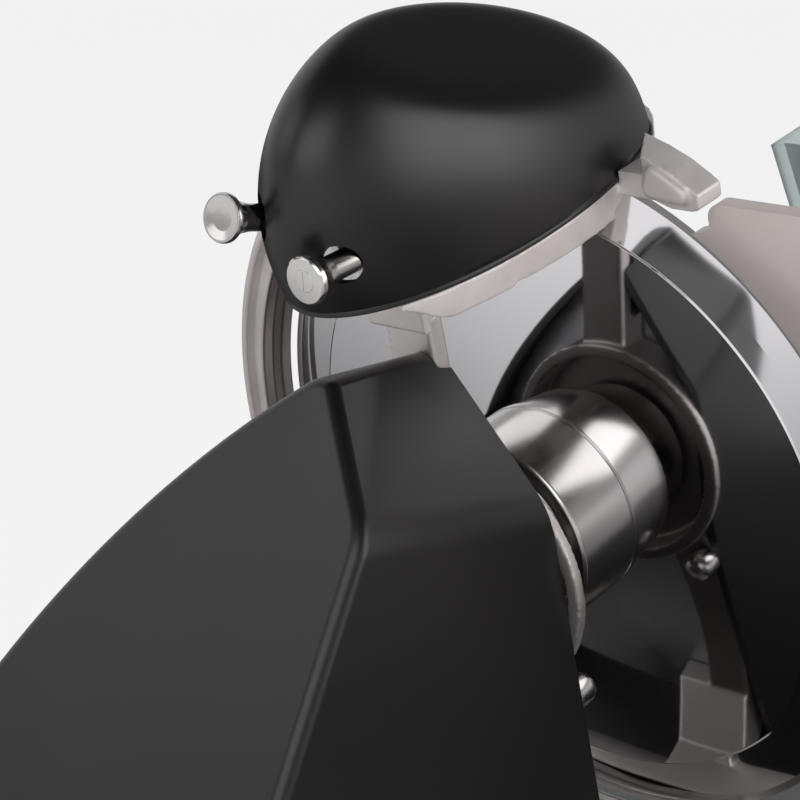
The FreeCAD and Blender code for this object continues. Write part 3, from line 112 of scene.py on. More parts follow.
class SlicerColours(bpy.types.PropertyGroup):
    """Colours of the slicer's finishes and of the studio."""

    enamel: bpy.props.FloatVectorProperty(
        name="Enamel", description="Satin black of the covers and the base", subtype="COLOR", size=3,
        min=0, max=1, default=linear("#141314"))
    steel: bpy.props.FloatVectorProperty(
        name="Steel", description="Stainless steel of the blade, hub and buttons", subtype="COLOR", size=3,
        min=0, max=1, default=linear("#c8c5c3"))
    mirror: bpy.props.FloatVectorProperty(
        name="Mirror", description="Polished stainless steel of the blade", subtype="COLOR", size=3,
        min=0, max=1, default=linear("#e6e4e6"))
    aluminium: bpy.props.FloatVectorProperty(
        name="Aluminium", description="Cast and machined aluminium", subtype="COLOR", size=3,
        min=0, max=1, default=linear("#e6e0dc"))
    floor: bpy.props.FloatVectorProperty(
        name="Floor", description="Floor and backdrop", subtype="COLOR", size=3,
        min=0, max=1, default=linear("#fafafb"))


# Shapes: each is a pair of vertex and face lists


def soften(points, steps=5, closed=False):
    """Rounds each corner of a line that carries a radius as its third number."""
    line = []
    count = len(points)
    for index, point in enumerate(points):
        at = Vector(point[:2])
        radius = point[2] if len(point) > 2 else 0.0
        inside = closed or 0 < index < count - 1
        if radius == 0.0 or not inside:
            line.append(tuple(at))
            continue
        before = Vector(points[index - 1][:2]) - at
        after = Vector(points[(index + 1) % count][:2]) - at
        half = before.angle(after) / 2
        reach = min(radius / math.tan(half), 0.49 * before.length, 0.49 * after.length)
        start = at + before.normalized() * reach
        end = at + after.normalized() * reach
        for step in range(steps + 1):
            t = step / steps
            line.append(tuple(start * (1 - t) ** 2 + at * 2 * t * (1 - t) + end * t ** 2))
    return line


def lathe(profile, steps=192, start=0.0, sweep=360.0, closed=False):
    """Skin turned about the X axis from (x, radius) points."""
    whole = sweep >= 360.0
    count = steps if whole else steps + 1
    size = len(profile)
    points = []
    for i in range(count):
        a = math.radians(start + sweep * i / steps)
        points += [(x, r * math.cos(a), r * math.sin(a)) for x, r in profile]
    faces = []
    for i in range(steps):
        j = (i + 1) % count
        for k in range(size if closed else size - 1):
            m = (k + 1) % size
            faces.append((i * size + k, j * size + k, j * size + m, i * size + m))
    if closed and not whole:
        faces.append(tuple(range(size)))
        faces.append(tuple(range((count - 1) * size, count * size)))
    return points, faces


def loft(rings):
    """Skin through closed rings of equally many points, with both ends closed."""
    size = len(rings[0])
    points = [point for ring in rings for point in ring]
    faces = []
    for i in range(len(rings) - 1):
        for k in range(size):
            m = (k + 1) % size
            faces.append((i * size + k, i * size + m, (i + 1) * size + m, (i + 1) * size + k))
    faces.append(tuple(range(size)))
    faces.append(tuple(range((len(rings) - 1) * size, len(rings) * size)))
    return points, faces


def block(x0, x1, y0, y1, z0, z1):
    corners = [(x0, y0), (x1, y0), (x1, y1), (x0, y1)]
    return loft([[(x, y, z) for x, y in corners] for z in (z0, z1)])


def bar(radius, x0, x1, y=0.0, z=0.0, steps=64):
    rings = []
    for x in (x0, x1):
        rings.append([(x, y + radius * math.cos(a), z + radius * math.sin(a)) for a in turns(steps)])
    return loft(rings)


def turns(steps):
    return [2 * math.pi * step / steps for step in range(steps)]


def moved(shape, matrix):
    points, faces = shape
    return [tuple(matrix @ Vector(point)) for point in points], faces


def working(name, mesh, weld):
    """Working object of a mesh in millimetres. Points closer than the weld are joined."""
    skin = bmesh.new()
    skin.from_mesh(mesh)
    bmesh.ops.remove_doubles(skin, verts=skin.verts, dist=weld)
    bmesh.ops.recalc_face_normals(skin, faces=skin.faces)
    skin.to_mesh(mesh)
    skin.free()
    thing = bpy.data.objects.new(name, mesh)
    bpy.context.scene.collection.objects.link(thing)
    return thing


def lump(shape, name="lump"):
    """Working object of a shape."""
    points, faces = shape
    mesh = bpy.data.meshes.new(name)
    mesh.from_pydata(points, [], faces)
    return working(name, mesh, 1e-4)


def change(thing, kind, **settings):
    modifier = thing.modifiers.new(kind.lower(), kind)
    for setting, value in settings.items():
        setattr(modifier, setting, value)
    return modifier


def settled(thing, spent=()):
    """Applies the modifiers of a working object and drops the spent cutters."""
    graph = bpy.context.evaluated_depsgraph_get()
    mesh = bpy.data.meshes.new_from_object(thing.evaluated_get(graph))
    thing.modifiers.clear()
    thing.data = mesh
    for cutter in spent:
        bpy.data.objects.remove(cutter)
    return thing


def cut(thing, shapes, operation="DIFFERENCE"):
    """Takes shapes away from a working object, or joins them to it."""
    cutters = [lump(shape, "cutter") for shape in shapes]
    for cutter in cutters:
        change(thing, "BOOLEAN", operation=operation, solver="EXACT", object=cutter)
    return settled(thing, cutters)


def copied(node, place):
    """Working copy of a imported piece, in millimetres, in a frame."""
    packed = NODES[node]
    mesh = packed.data.copy()
    mesh.transform(Matrix.Scale(1.0 / MM, 4) @ place.inverted() @ packed.matrix_world)
    return working("copied", mesh, 1e-3)


def weathered(thing, grain, passes):
    """Gives a working object the soft corners of a casting."""
    change(thing, "REMESH", mode="VOXEL", voxel_size=grain, adaptivity=0.0)
    change(thing, "SMOOTH", factor=0.5, iterations=passes)
    return settled(thing)


def piece(name, shape, finishes, stands_for=(), body=None, place=HEAD, sharp=38.0):
    """Finished piece from a shape or a working object. It rides with the node that it stands for."""
    thing = shape if isinstance(shape, bpy.types.Object) else lump(shape)
    thing.name = name
    thing.data.name = name
    thing.data.transform(Matrix.Scale(MM, 4))
    thing.data.materials.clear()
    for finish in finishes if isinstance(finishes, (list, tuple)) else [finishes]:
        thing.data.materials.append(finish)
    thing.data.shade_smooth()
    thing.data.set_sharp_from_angle(angle=math.radians(sharp))
    thing.matrix_world = place
    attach(thing, body or BODY_OF[stands_for[0]])
    if stands_for:
        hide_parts(*stands_for)
    return thing


def paint_where(thing, test, index):
    """Gives the faces whose middle passes a test another of the piece's finishes."""
    for face in thing.data.polygons:
        if test(face.center / MM):
            face.material_index = index


# Finishes


def add(tree, kind, sockets=None, **settings):
    """Adds a node with its settings, and sets or links its sockets."""
    node = tree.nodes.new(kind)
    for setting, value in settings.items():
        setattr(node, setting, value)
    for socket, value in (sockets or {}).items():
        if isinstance(value, bpy.types.NodeSocket):
            tree.links.new(value, node.inputs[socket])
        else:
            node.inputs[socket].default_value = value
    return node


def new_finish(name, colour, **sockets):
    """Material with a shader whose plain values are set on its own sockets."""
    material = bpy.data.materials.new(name)
    material.use_nodes = True
    tree = material.node_tree
    tree.nodes.clear()
    values = {"Base Color": (*colour, 1.0)}
    values.update({socket.replace("_", " "): value for socket, value in sockets.items()})
    surface = add(tree, "ShaderNodeBsdfPrincipled", values)
    add(tree, "ShaderNodeOutputMaterial", {"Surface": surface.outputs[0]})
    return material, tree, surface


# Marks of polishing, turning and blasting, and the pores and grain of a skin, are finer than a picture
# shows. They are drawn 0.35 to 1.6 mm wide, so that they can be seen.


def per_mm(size):
    """Noise scale, per metre, of a pattern whose features are the given millimetres wide."""
    return 1.0 / (size * MM)


def from_axis(tree, parts):
    """Distance of a shaded point from its piece's X axis."""
    across = add(tree, "ShaderNodeCombineXYZ", {0: 0.0, 1: parts.outputs[1], 2: parts.outputs[2]})
    return add(tree, "ShaderNodeVectorMath", {0: across.outputs[0]}, operation="LENGTH").outputs["Value"]


def hue(name):
    return tuple(getattr(bpy.context.scene.slicer_colours, name))


FINISHES = {}


def finish(make):
    """Makes a finish once and then hands out the same one."""
    if make.__name__ not in FINISHES:
        FINISHES[make.__name__] = make()
    return FINISHES[make.__name__]


def powder_coat():
    # Satin black powder coat on cast aluminium: soft sheen with a faint orange-peel skin
    material, tree, surface = new_finish("satin_black_powder_coat", hue("enamel"), Roughness=0.36)
    place = add(tree, "ShaderNodeTexCoord").outputs["Object"]
    cloud = add(tree, "ShaderNodeTexNoise", {"Vector": place, "Scale": per_mm(45), "Detail": 3.0})
    sheen = add(tree, "ShaderNodeMapRange", {0: cloud.outputs[0], "To Min": 0.33, "To Max": 0.4})
    tree.links.new(sheen.outputs[0], surface.inputs["Roughness"])
    peel = add(tree, "ShaderNodeTexNoise", {"Vector": place, "Scale": per_mm(0.9), "Detail": 2.0})
    bump = add(tree, "ShaderNodeBump", {"Height": peel.outputs[0], "Strength": 0.12, "Distance": 0.03 * MM})
    tree.links.new(bump.outputs[0], surface.inputs["Normal"])
    return material


def mirror_steel():
    # Martensitic stainless steel, polished on a buff: a clear mirror with faint rings of polish
    material, tree, surface = new_finish("polished_stainless_steel", hue("mirror"), Metallic=1.0,
                                         Roughness=0.05)
    place = add(tree, "ShaderNodeTexCoord").outputs["Object"]
    parts = add(tree, "ShaderNodeSeparateXYZ", {0: place})
    radius = from_axis(tree, parts)
    line = add(tree, "ShaderNodeTexNoise", {"W": radius, "Scale": per_mm(0.5), "Detail": 4.0},
               noise_dimensions="1D")
    bump = add(tree, "ShaderNodeBump", {"Height": line.outputs[0], "Strength": 0.05, "Distance": 0.004 * MM})
    tree.links.new(bump.outputs[0], surface.inputs["Normal"])
    return material


def turned_steel():
    # Stainless steel, finish-turned on a lathe: fine rings that stretch each highlight into a band
    material, tree, surface = new_finish("turned_stainless_steel", hue("steel"), Metallic=1.0, Roughness=0.2,
                                         Anisotropic=0.4)
    around_axis = add(tree, "ShaderNodeTangent", direction_type="RADIAL", axis="X")
    tree.links.new(around_axis.outputs[0], surface.inputs["Tangent"])
    place = add(tree, "ShaderNodeTexCoord").outputs["Object"]
    parts = add(tree, "ShaderNodeSeparateXYZ", {0: place})
    radius = from_axis(tree, parts)
    groove = add(tree, "ShaderNodeMath", {0: parts.outputs[0], 1: radius})
    line = add(tree, "ShaderNodeTexNoise", {"W": groove.outputs[0], "Scale": per_mm(0.35), "Detail": 3.0},
               noise_dimensions="1D")
    shade = add(tree, "ShaderNodeMapRange", {0: line.outputs[0], "To Min": 0.17, "To Max": 0.24})
    tree.links.new(shade.outputs[0], surface.inputs["Roughness"])
    bump = add(tree, "ShaderNodeBump", {"Height": line.outputs[0], "Strength": 0.05, "Distance": 0.006 * MM})
    tree.links.new(bump.outputs[0], surface.inputs["Normal"])
    return material


def ground_bevel():
    # Ground steel of the cutting bevel: fine grinding marks, paler and duller than the mirror
    material, tree, surface = new_finish("ground_steel_bevel", hue("steel"), Metallic=1.0, Roughness=0.34)
    place = add(tree, "ShaderNodeTexCoord").outputs["Object"]
    grain = add(tree, "ShaderNodeTexNoise", {"Vector": place, "Scale": per_mm(0.6), "Detail": 4.0})
    shade = add(tree, "ShaderNodeMapRange", {0: grain.outputs[0], "To Min": 0.26, "To Max": 0.46})
    tree.links.new(shade.outputs[0], surface.inputs["Roughness"])
    return material


def raw_casting():
    # Shot-blasted aluminium casting: pale grey skin with a sparkling grit and small pits
    material, tree, surface = new_finish("blasted_cast_aluminium", hue("aluminium"), Metallic=1.0,
                                         Roughness=0.5)
    place = add(tree, "ShaderNodeTexCoord").outputs["Object"]
    grit = add(tree, "ShaderNodeTexNoise", {"Vector": place, "Scale": per_mm(0.8), "Detail": 5.0,
                                            "Roughness": 0.7})
    pits = add(tree, "ShaderNodeTexVoronoi", {"Vector": place, "Scale": per_mm(1.6)}, feature="SMOOTH_F1")
    relief = add(tree, "ShaderNodeMath", {0: grit.outputs[0], 1: pits.outputs[0]})
    shade = add(tree, "ShaderNodeMapRange", {0: grit.outputs[0], "From Min": 0.3, "From Max": 0.7,
                                             "To Min": 0.42, "To Max": 0.62})
    tree.links.new(shade.outputs[0], surface.inputs["Roughness"])
    bump = add(tree, "ShaderNodeBump", {"Height": relief.outputs[0], "Strength": 0.5, "Distance": 0.14 * MM})
    tree.links.new(bump.outputs[0], surface.inputs["Normal"])
    return material


def sand_casting():
    # Sand-cast aluminium: pale grit where it was blasted, and painted shade, a dark grey, on the side
    # that faces the blade
    material, tree, surface = new_finish("sand_cast_aluminium", hue("aluminium"), Metallic=1.0, Roughness=0.5)
    coordinates = add(tree, "ShaderNodeTexCoord")
    place = coordinates.outputs["Object"]
    parts = add(tree, "ShaderNodeSeparateXYZ", {0: coordinates.outputs["Normal"]})
    # Painted shade: faces turned towards the blade, along the piece's x axis, are mixed to a dark grey
    blade_side_shade = add(tree, "ShaderNodeMapRange", {0: parts.outputs[0], "From Min": 0.55, "From Max": 0.9})
    tone = add(tree, "ShaderNodeMix", {0: blade_side_shade.outputs[0], 6: (*hue("aluminium"), 1.0),
                                       7: (*linear("#6f6a69"), 1.0)}, data_type="RGBA")
    tree.links.new(tone.outputs[2], surface.inputs["Base Color"])
    grit = add(tree, "ShaderNodeTexNoise", {"Vector": place, "Scale": per_mm(0.8), "Detail": 5.0,
                                            "Roughness": 0.7})
    shade = add(tree, "ShaderNodeMapRange", {0: grit.outputs[0], "From Min": 0.3, "From Max": 0.7,
                                             "To Min": 0.38, "To Max": 0.58})
    tree.links.new(shade.outputs[0], surface.inputs["Roughness"])
    bump = add(tree, "ShaderNodeBump", {"Height": grit.outputs[0], "Strength": 0.45, "Distance": 0.12 * MM})
    tree.links.new(bump.outputs[0], surface.inputs["Normal"])
    return material


def fettled_casting():
    # Fine-blasted aluminium casting, rubbed down: nearly white and soft, with faint specks and stains
    material, tree, surface = new_finish("fettled_cast_aluminium", linear("#efe8e5"), Metallic=0.3,
                                         Roughness=0.42)
    place = add(tree, "ShaderNodeTexCoord").outputs["Object"]
    grit = add(tree, "ShaderNodeTexNoise", {"Vector": place, "Scale": per_mm(0.7), "Detail": 5.0,
                                            "Roughness": 0.7})
    shade = add(tree, "ShaderNodeMapRange", {0: grit.outputs[0], "From Min": 0.3, "From Max": 0.7,
                                             "To Min": 0.34, "To Max": 0.55})
    tree.links.new(shade.outputs[0], surface.inputs["Roughness"])
    stain = add(tree, "ShaderNodeTexNoise", {"Vector": place, "Scale": per_mm(14), "Detail": 6.0})
    tone = add(tree, "ShaderNodeMix", {0: stain.outputs[0], 6: (*linear("#cdc4c1"), 1.0),
                                       7: (*linear("#f8f2f0"), 1.0)}, data_type="RGBA")
    tree.links.new(tone.outputs[2], surface.inputs["Base Color"])
    bump = add(tree, "ShaderNodeBump", {"Height": grit.outputs[0], "Strength": 0.35, "Distance": 0.08 * MM})
    tree.links.new(bump.outputs[0], surface.inputs["Normal"])
    return material


def machined_ring():
    # Aluminium turned on a lathe: smooth and bright with rings
    material, tree, surface = new_finish("turned_aluminium", hue("aluminium"), Metallic=1.0, Roughness=0.28,
                                         Anisotropic=0.5)
    around_axis = add(tree, "ShaderNodeTangent", direction_type="RADIAL", axis="X")
    tree.links.new(around_axis.outputs[0], surface.inputs["Tangent"])
    place = add(tree, "ShaderNodeTexCoord").outputs["Object"]
    parts = add(tree, "ShaderNodeSeparateXYZ", {0: place})
    radius = from_axis(tree, parts)
    line = add(tree, "ShaderNodeTexNoise", {"W": radius, "Scale": per_mm(0.4), "Detail": 3.0},
               noise_dimensions="1D")
    bump = add(tree, "ShaderNodeBump", {"Height": line.outputs[0], "Strength": 0.06, "Distance": 0.01 * MM})
    tree.links.new(bump.outputs[0], surface.inputs["Normal"])
    return material


def brushed_plate():
    # Aluminium plate, brushed lengthwise and anodised: long fine lines and a soft streaky sheen
    material, tree, surface = new_finish("brushed_anodised_aluminium", hue("aluminium"), Metallic=1.0,
                                         Roughness=0.32)
    place = add(tree, "ShaderNodeTexCoord").outputs["Object"]
    stretch = add(tree, "ShaderNodeMapping", {0: place, "Scale": (per_mm(0.5), per_mm(40), per_mm(0.5))})
    line = add(tree, "ShaderNodeTexNoise", {"Vector": stretch.outputs[0], "Scale": 1.0, "Detail": 3.0})
    shade = add(tree, "ShaderNodeMapRange", {0: line.outputs[0], "To Min": 0.24, "To Max": 0.42})
    tree.links.new(shade.outputs[0], surface.inputs["Roughness"])
    bump = add(tree, "ShaderNodeBump", {"Height": line.outputs[0], "Strength": 0.12, "Distance": 0.01 * MM})
    tree.links.new(bump.outputs[0], surface.inputs["Normal"])
    return material


def cast_plate():
    # Back of a cast and blasted gauge plate: even, matt grey, with a faint warm tint that is a painted reflection
    material, tree, surface = new_finish("blasted_aluminium_plate", linear("#e9dedb"), Metallic=0.45,
                                         Roughness=0.48)
    place = add(tree, "ShaderNodeTexCoord").outputs["Object"]
    grit = add(tree, "ShaderNodeTexNoise", {"Vector": place, "Scale": per_mm(0.7), "Detail": 4.0})
    bump = add(tree, "ShaderNodeBump", {"Height": grit.outputs[0], "Strength": 0.25, "Distance": 0.05 * MM})
    tree.links.new(bump.outputs[0], surface.inputs["Normal"])
    return material


def drawn_steel():
    # Bright drawn steel of screws and springs: even, a little dull
    material, tree, surface = new_finish("bright_drawn_steel", linear("#b9b8b6"), Metallic=1.0,
                                         Roughness=0.27)
    place = add(tree, "ShaderNodeTexCoord").outputs["Object"]
    grain = add(tree, "ShaderNodeTexNoise", {"Vector": place, "Scale": per_mm(1.2), "Detail": 3.0})
    shade = add(tree, "ShaderNodeMapRange", {0: grain.outputs[0], "To Min": 0.2, "To Max": 0.36})
    tree.links.new(shade.outputs[0], surface.inputs["Roughness"])
    return material


def hard_chrome():
    # Hard chrome on ground rods: near mirror with a trace of grinding
    material, tree, surface = new_finish("hard_chrome_rod", linear("#c9cacb"), Metallic=1.0, Roughness=0.09)
    place = add(tree, "ShaderNodeTexCoord").outputs["Object"]
    grain = add(tree, "ShaderNodeTexNoise", {"Vector": place, "Scale": per_mm(0.7), "Detail": 3.0})
    shade = add(tree, "ShaderNodeMapRange", {0: grain.outputs[0], "To Min": 0.06, "To Max": 0.14})
    tree.links.new(shade.outputs[0], surface.inputs["Roughness"])
    return material


def blued_steel():
    # Blued steel of the spindle guides: dark, with a dull oily sheen. Their dark tone is also painted shade for
    # the cover's inside, seen through its holes
    material, tree, surface = new_finish("blued_steel", linear("#4a4a4e"), Metallic=1.0, Roughness=0.3)
    place = add(tree, "ShaderNodeTexCoord").outputs["Object"]
    film = add(tree, "ShaderNodeTexNoise", {"Vector": place, "Scale": per_mm(2.5), "Detail": 3.0})
    shade = add(tree, "ShaderNodeMapRange", {0: film.outputs[0], "To Min": 0.24, "To Max": 0.4})
    tree.links.new(shade.outputs[0], surface.inputs["Roughness"])
    return material


def oiled_bronze():
    # Sintered bronze bush, oil-filled: brown-gold with fine pores
    material, tree, surface = new_finish("sintered_bronze", linear("#a97f4c"), Metallic=1.0, Roughness=0.42)
    place = add(tree, "ShaderNodeTexCoord").outputs["Object"]
    pores = add(tree, "ShaderNodeTexNoise", {"Vector": place, "Scale": per_mm(0.5), "Detail": 4.0})
    bump = add(tree, "ShaderNodeBump", {"Height": pores.outputs[0], "Strength": 0.25, "Distance": 0.03 * MM})
    tree.links.new(bump.outputs[0], surface.inputs["Normal"])
    return material


def moulded_nylon():
    # Glass-filled nylon, moulded in a spark-eroded tool: dark, dull, finely grained
    material, tree, surface = new_finish("moulded_black_nylon", linear("#1d1d1e"), Roughness=0.55, IOR=1.53)
    place = add(tree, "ShaderNodeTexCoord").outputs["Object"]
    grain = add(tree, "ShaderNodeTexNoise", {"Vector": place, "Scale": per_mm(0.5), "Detail": 2.0})
    bump = add(tree, "ShaderNodeBump", {"Height": grain.outputs[0], "Strength": 0.3, "Distance": 0.04 * MM})
    tree.links.new(bump.outputs[0], surface.inputs["Normal"])
    return material


def soft_rubber():
    # Moulded nitrile rubber: matt black with a dusty bloom
    material, tree, surface = new_finish("moulded_rubber", linear("#191918"), Roughness=0.8, IOR=1.52)
    place = add(tree, "ShaderNodeTexCoord").outputs["Object"]
    bloom = add(tree, "ShaderNodeTexNoise", {"Vector": place, "Scale": per_mm(4.0), "Detail": 4.0})
    shade = add(tree, "ShaderNodeMapRange", {0: bloom.outputs[0], "To Min": 0.68, "To Max": 0.92})
    tree.links.new(shade.outputs[0], surface.inputs["Roughness"])
    bump = add(tree, "ShaderNodeBump", {"Height": bloom.outputs[0], "Strength": 0.2, "Distance": 0.1 * MM})
    tree.links.new(bump.outputs[0], surface.inputs["Normal"])
    return material


def gloss_abs(name, code):
    # Injection-moulded ABS, polished tool: clear gloss over a solid colour
    material, tree, surface = new_finish(name, linear(code), Roughness=0.2, IOR=1.54)
    place = add(tree, "ShaderNodeTexCoord").outputs["Object"]
    cloud = add(tree, "ShaderNodeTexNoise", {"Vector": place, "Scale": per_mm(6.0), "Detail": 2.0})
    shade = add(tree, "ShaderNodeMapRange", {0: cloud.outputs[0], "To Min": 0.15, "To Max": 0.26})
    tree.links.new(shade.outputs[0], surface.inputs["Roughness"])
    return material


def green_abs():
    return gloss_abs("green_moulded_abs", "#1f7a44")


def red_abs():
    return gloss_abs("red_moulded_abs", "#a51f1c")


def lamp_lens():
    # Moulded polycarbonate lens: milky, ribbed on its inside
    material, tree, surface = new_finish("milky_polycarbonate", linear("#e8dcae"), Roughness=0.25, IOR=1.58,
                                         Transmission_Weight=0.35)
    place = add(tree, "ShaderNodeTexCoord").outputs["Object"]
    rib = add(tree, "ShaderNodeTexWave", {"Vector": place, "Scale": per_mm(7.0)}, bands_direction="X")
    bump = add(tree, "ShaderNodeBump", {"Height": rib.outputs[0], "Strength": 0.3, "Distance": 0.2 * MM})
    tree.links.new(bump.outputs[0], surface.inputs["Normal"])
    return material


def white_acetal():
    # Machined acetal: waxy white with faint tool lines
    material, tree, surface = new_finish("machined_white_acetal", linear("#e6e4de"), Roughness=0.45, IOR=1.48)
    place = add(tree, "ShaderNodeTexCoord").outputs["Object"]
    line = add(tree, "ShaderNodeTexNoise", {"Vector": place, "Scale": per_mm(0.8), "Detail": 3.0})
    bump = add(tree, "ShaderNodeBump", {"Height": line.outputs[0], "Strength": 0.15, "Distance": 0.02 * MM})
    tree.links.new(bump.outputs[0], surface.inputs["Normal"])
    return material


def corundum():
    # Vitrified corundum wheel: grey-brown grit, fully rough
    material, tree, surface = new_finish("vitrified_corundum", linear("#8b8178"), Roughness=0.9, IOR=1.6)
    place = add(tree, "ShaderNodeTexCoord").outputs["Object"]
    grit = add(tree, "ShaderNodeTexVoronoi", {"Vector": place, "Scale": per_mm(0.5)})
    tone = add(tree, "ShaderNodeMix", {0: grit.outputs[0], 6: (*linear("#6f665e"), 1.0),
                                       7: (*linear("#b3a99e"), 1.0)}, data_type="RGBA")
    tree.links.new(tone.outputs[2], surface.inputs["Base Color"])
    bump = add(tree, "ShaderNodeBump", {"Height": grit.outputs[0], "Strength": 0.6, "Distance": 0.15 * MM})
    tree.links.new(bump.outputs[0], surface.inputs["Normal"])
    return material


def motor_enamel():
    # Hammered grey enamel on the motor's shell
    material, tree, surface = new_finish("grey_motor_enamel", linear("#5b5e61"), Roughness=0.38)
    place = add(tree, "ShaderNodeTexCoord").outputs["Object"]
    peel = add(tree, "ShaderNodeTexNoise", {"Vector": place, "Scale": per_mm(2.0), "Detail": 2.0})
    bump = add(tree, "ShaderNodeBump", {"Height": peel.outputs[0], "Strength": 0.3, "Distance": 0.1 * MM})
    tree.links.new(bump.outputs[0], surface.inputs["Normal"])
    return material


def green_laminate():
    # Glass-epoxy board with solder mask: deep green, smooth, with lighter tracks
    material, tree, surface = new_finish("green_circuit_laminate", linear("#14512c"), Roughness=0.3, IOR=1.55)
    place = add(tree, "ShaderNodeTexCoord").outputs["Object"]
    track = add(tree, "ShaderNodeTexBrick", {"Vector": place, "Scale": per_mm(9.0), "Mortar Size": 0.03,
                                             "Color1": (*linear("#14512c"), 1.0),
                                             "Color2": (*linear("#124a28"), 1.0),
                                             "Mortar": (*linear("#2f7f4a"), 1.0)})
    tree.links.new(track.outputs[0], surface.inputs["Base Color"])
    return material


def zinc_sheet():
    # Hot-dip galvanised steel sheet: grey with broad dull spangles
    material, tree, surface = new_finish("galvanised_steel_sheet", linear("#a7aaab"), Metallic=1.0,
                                         Roughness=0.4)
    place = add(tree, "ShaderNodeTexCoord").outputs["Object"]
    spangle = add(tree, "ShaderNodeTexVoronoi", {"Vector": place, "Scale": per_mm(9.0)})
    shade = add(tree, "ShaderNodeMapRange", {0: spangle.outputs[1], "To Min": 0.3, "To Max": 0.52})
    tree.links.new(shade.outputs[0], surface.inputs["Roughness"])
    return material


def clear_acrylic():
    # Cast acrylic sheet with polished edges: clear, and brighter where the eye skims it
    material, tree, surface = new_finish("clear_cast_acrylic", linear("#eef2f2"), Roughness=0.08, IOR=1.49)
    place = add(tree, "ShaderNodeTexCoord").outputs["Object"]
    haze = add(tree, "ShaderNodeTexNoise", {"Vector": place, "Scale": per_mm(30), "Detail": 4.0})
    shade = add(tree, "ShaderNodeMapRange", {0: haze.outputs[0], "To Min": 0.03, "To Max": 0.12})
    tree.links.new(shade.outputs[0], surface.inputs["Roughness"])
    through = add(tree, "ShaderNodeBsdfTransparent", {"Color": (*linear("#e9eded"), 1.0)})
    skim = add(tree, "ShaderNodeFresnel", {"IOR": 1.49})
    body = add(tree, "ShaderNodeMath", {0: skim.outputs[0], 1: 0.06}, use_clamp=True)
    mix = add(tree, "ShaderNodeMixShader", {0: body.outputs[0], 1: through.outputs[0], 2: surface.outputs[0]})
    out = next(node for node in tree.nodes if node.type == "OUTPUT_MATERIAL")
    tree.links.new(mix.outputs[0], out.inputs["Surface"])
    return material


# CAD pieces that keep their own solid

STEEP_EDGE = 32.0    # least angle of an edge that stays sharp
ROUNDED_EDGE = 35.0  # least angle of an edge that is rounded


def soft_shading():
    """Node group that shades a welded mesh smoothly, but keeps steep edges sharp."""
    name = "shade_by_angle"
    if name in bpy.data.node_groups:
        return bpy.data.node_groups[name]
    tree = bpy.data.node_groups.new(name, "GeometryNodeTree")
    tree.interface.new_socket("Geometry", in_out="INPUT", socket_type="NodeSocketGeometry")
    tree.interface.new_socket("Geometry", in_out="OUTPUT", socket_type="NodeSocketGeometry")
    start = add(tree, "NodeGroupInput")
    smooth = add(tree, "GeometryNodeSetShadeSmooth", {"Geometry": start.outputs[0], "Shade Smooth": True},
                 domain="FACE")
    angle = add(tree, "GeometryNodeInputMeshEdgeAngle")
    steep = add(tree, "FunctionNodeCompare", {0: angle.outputs[0], 1: math.radians(STEEP_EDGE)},
                data_type="FLOAT", operation="GREATER_THAN")
    sharp = add(tree, "GeometryNodeSetShadeSmooth",
                {"Geometry": smooth.outputs[0], "Selection": steep.outputs[0], "Shade Smooth": False},
                domain="EDGE")
    add(tree, "NodeGroupOutput", {0: sharp.outputs[0]})
    return tree


def dress(node, make, edge=0.0, grain=0.0):
    """Gives a CAD piece its finish and smooth shading. Edge is the rounding of its edges and grain that
    of a casting's soft skin, in millimetres."""
    thing = NODES[node]
    thing.data.materials.clear()
    thing.data.materials.append(finish(make))
    change(thing, "WELD", merge_threshold=0.00001)
    if grain:
        change(thing, "REMESH", mode="VOXEL", voxel_size=grain * MM, adaptivity=0.0)
        change(thing, "SMOOTH", factor=0.5, iterations=6)
        change(thing, "NODES", node_group=soft_shading())
        return
    if edge:
        change(thing, "BEVEL", width=edge * MM, segments=2, limit_method="ANGLE",
               angle_limit=math.radians(ROUNDED_EDGE), use_clamp_overlap=True)
    change(thing, "NODES", node_group=soft_shading())


# Pieces, with the sizes that more than one of their shapes needs

BEVEL_WIDTH = 2.7    # ground at the blade's edge
BLADE_SCREWS = 4
SCREW_CIRCLE = 23.0
ROUGH_FROM = 133.6   # radius beyond which the guard ring keeps its cast skin
TIE_CIRCLE = 137.0   # radius at which the cover's tie goes through the guard ring
TIE_TURN = 100.0     # of the tie round the blade, from the top
SPINDLE_R = 4.0
BUTTON_EDGE = 28.0   # least angle that stays sharp on the turned buttons


class SLICER_OT_blade(bpy.types.Operator):
    """Adds the polished dished blade with its ground bevel"""

    bl_idname = "slicer.blade"
    bl_label = "Blade"

    def execute(self, context):
        edge = context.scene.slicer_sizes.blade_radius / MM
        profile = soften([
            (0.0, 12.1), (0.0, 36.0, 14.0), (6.65, edge - 19.8, 0.6), (7.0, edge - 19.1, 0.6),
            (8.5, edge - 11.5, 1.0), (10.3, edge - 2.65, 0.3), (10.56, edge - 0.08), (10.66, edge - 0.08),
            (10.3, edge - 13.0, 2.0), (9.05, edge - 21.3, 2.0), (2.4, 37.5, 12.0), (2.4, 12.1),
        ])
        blade = lump(lathe(profile, steps=360, closed=True))
        screws = [bar(3.1, -1.0, 9.0, *place) for place in around(BLADE_SCREWS, SCREW_CIRCLE, 45.0)]
        cut(blade, screws)
        finishes = [finish(mirror_steel), finish(ground_bevel)]
        shown = piece("dished_blade", blade, finishes, ["blade"], sharp=25.0)
        paint_where(shown, lambda middle: math.hypot(middle.y, middle.z) > edge - BEVEL_WIDTH, 1)
        return {"FINISHED"}


def around(count, radius, offset=0.0):
    """Places of equal steps on a circle, as (y, z)."""
    for step in range(count):
        a = math.radians(offset + 360.0 * step / count)
        yield radius * math.cos(a), radius * math.sin(a)


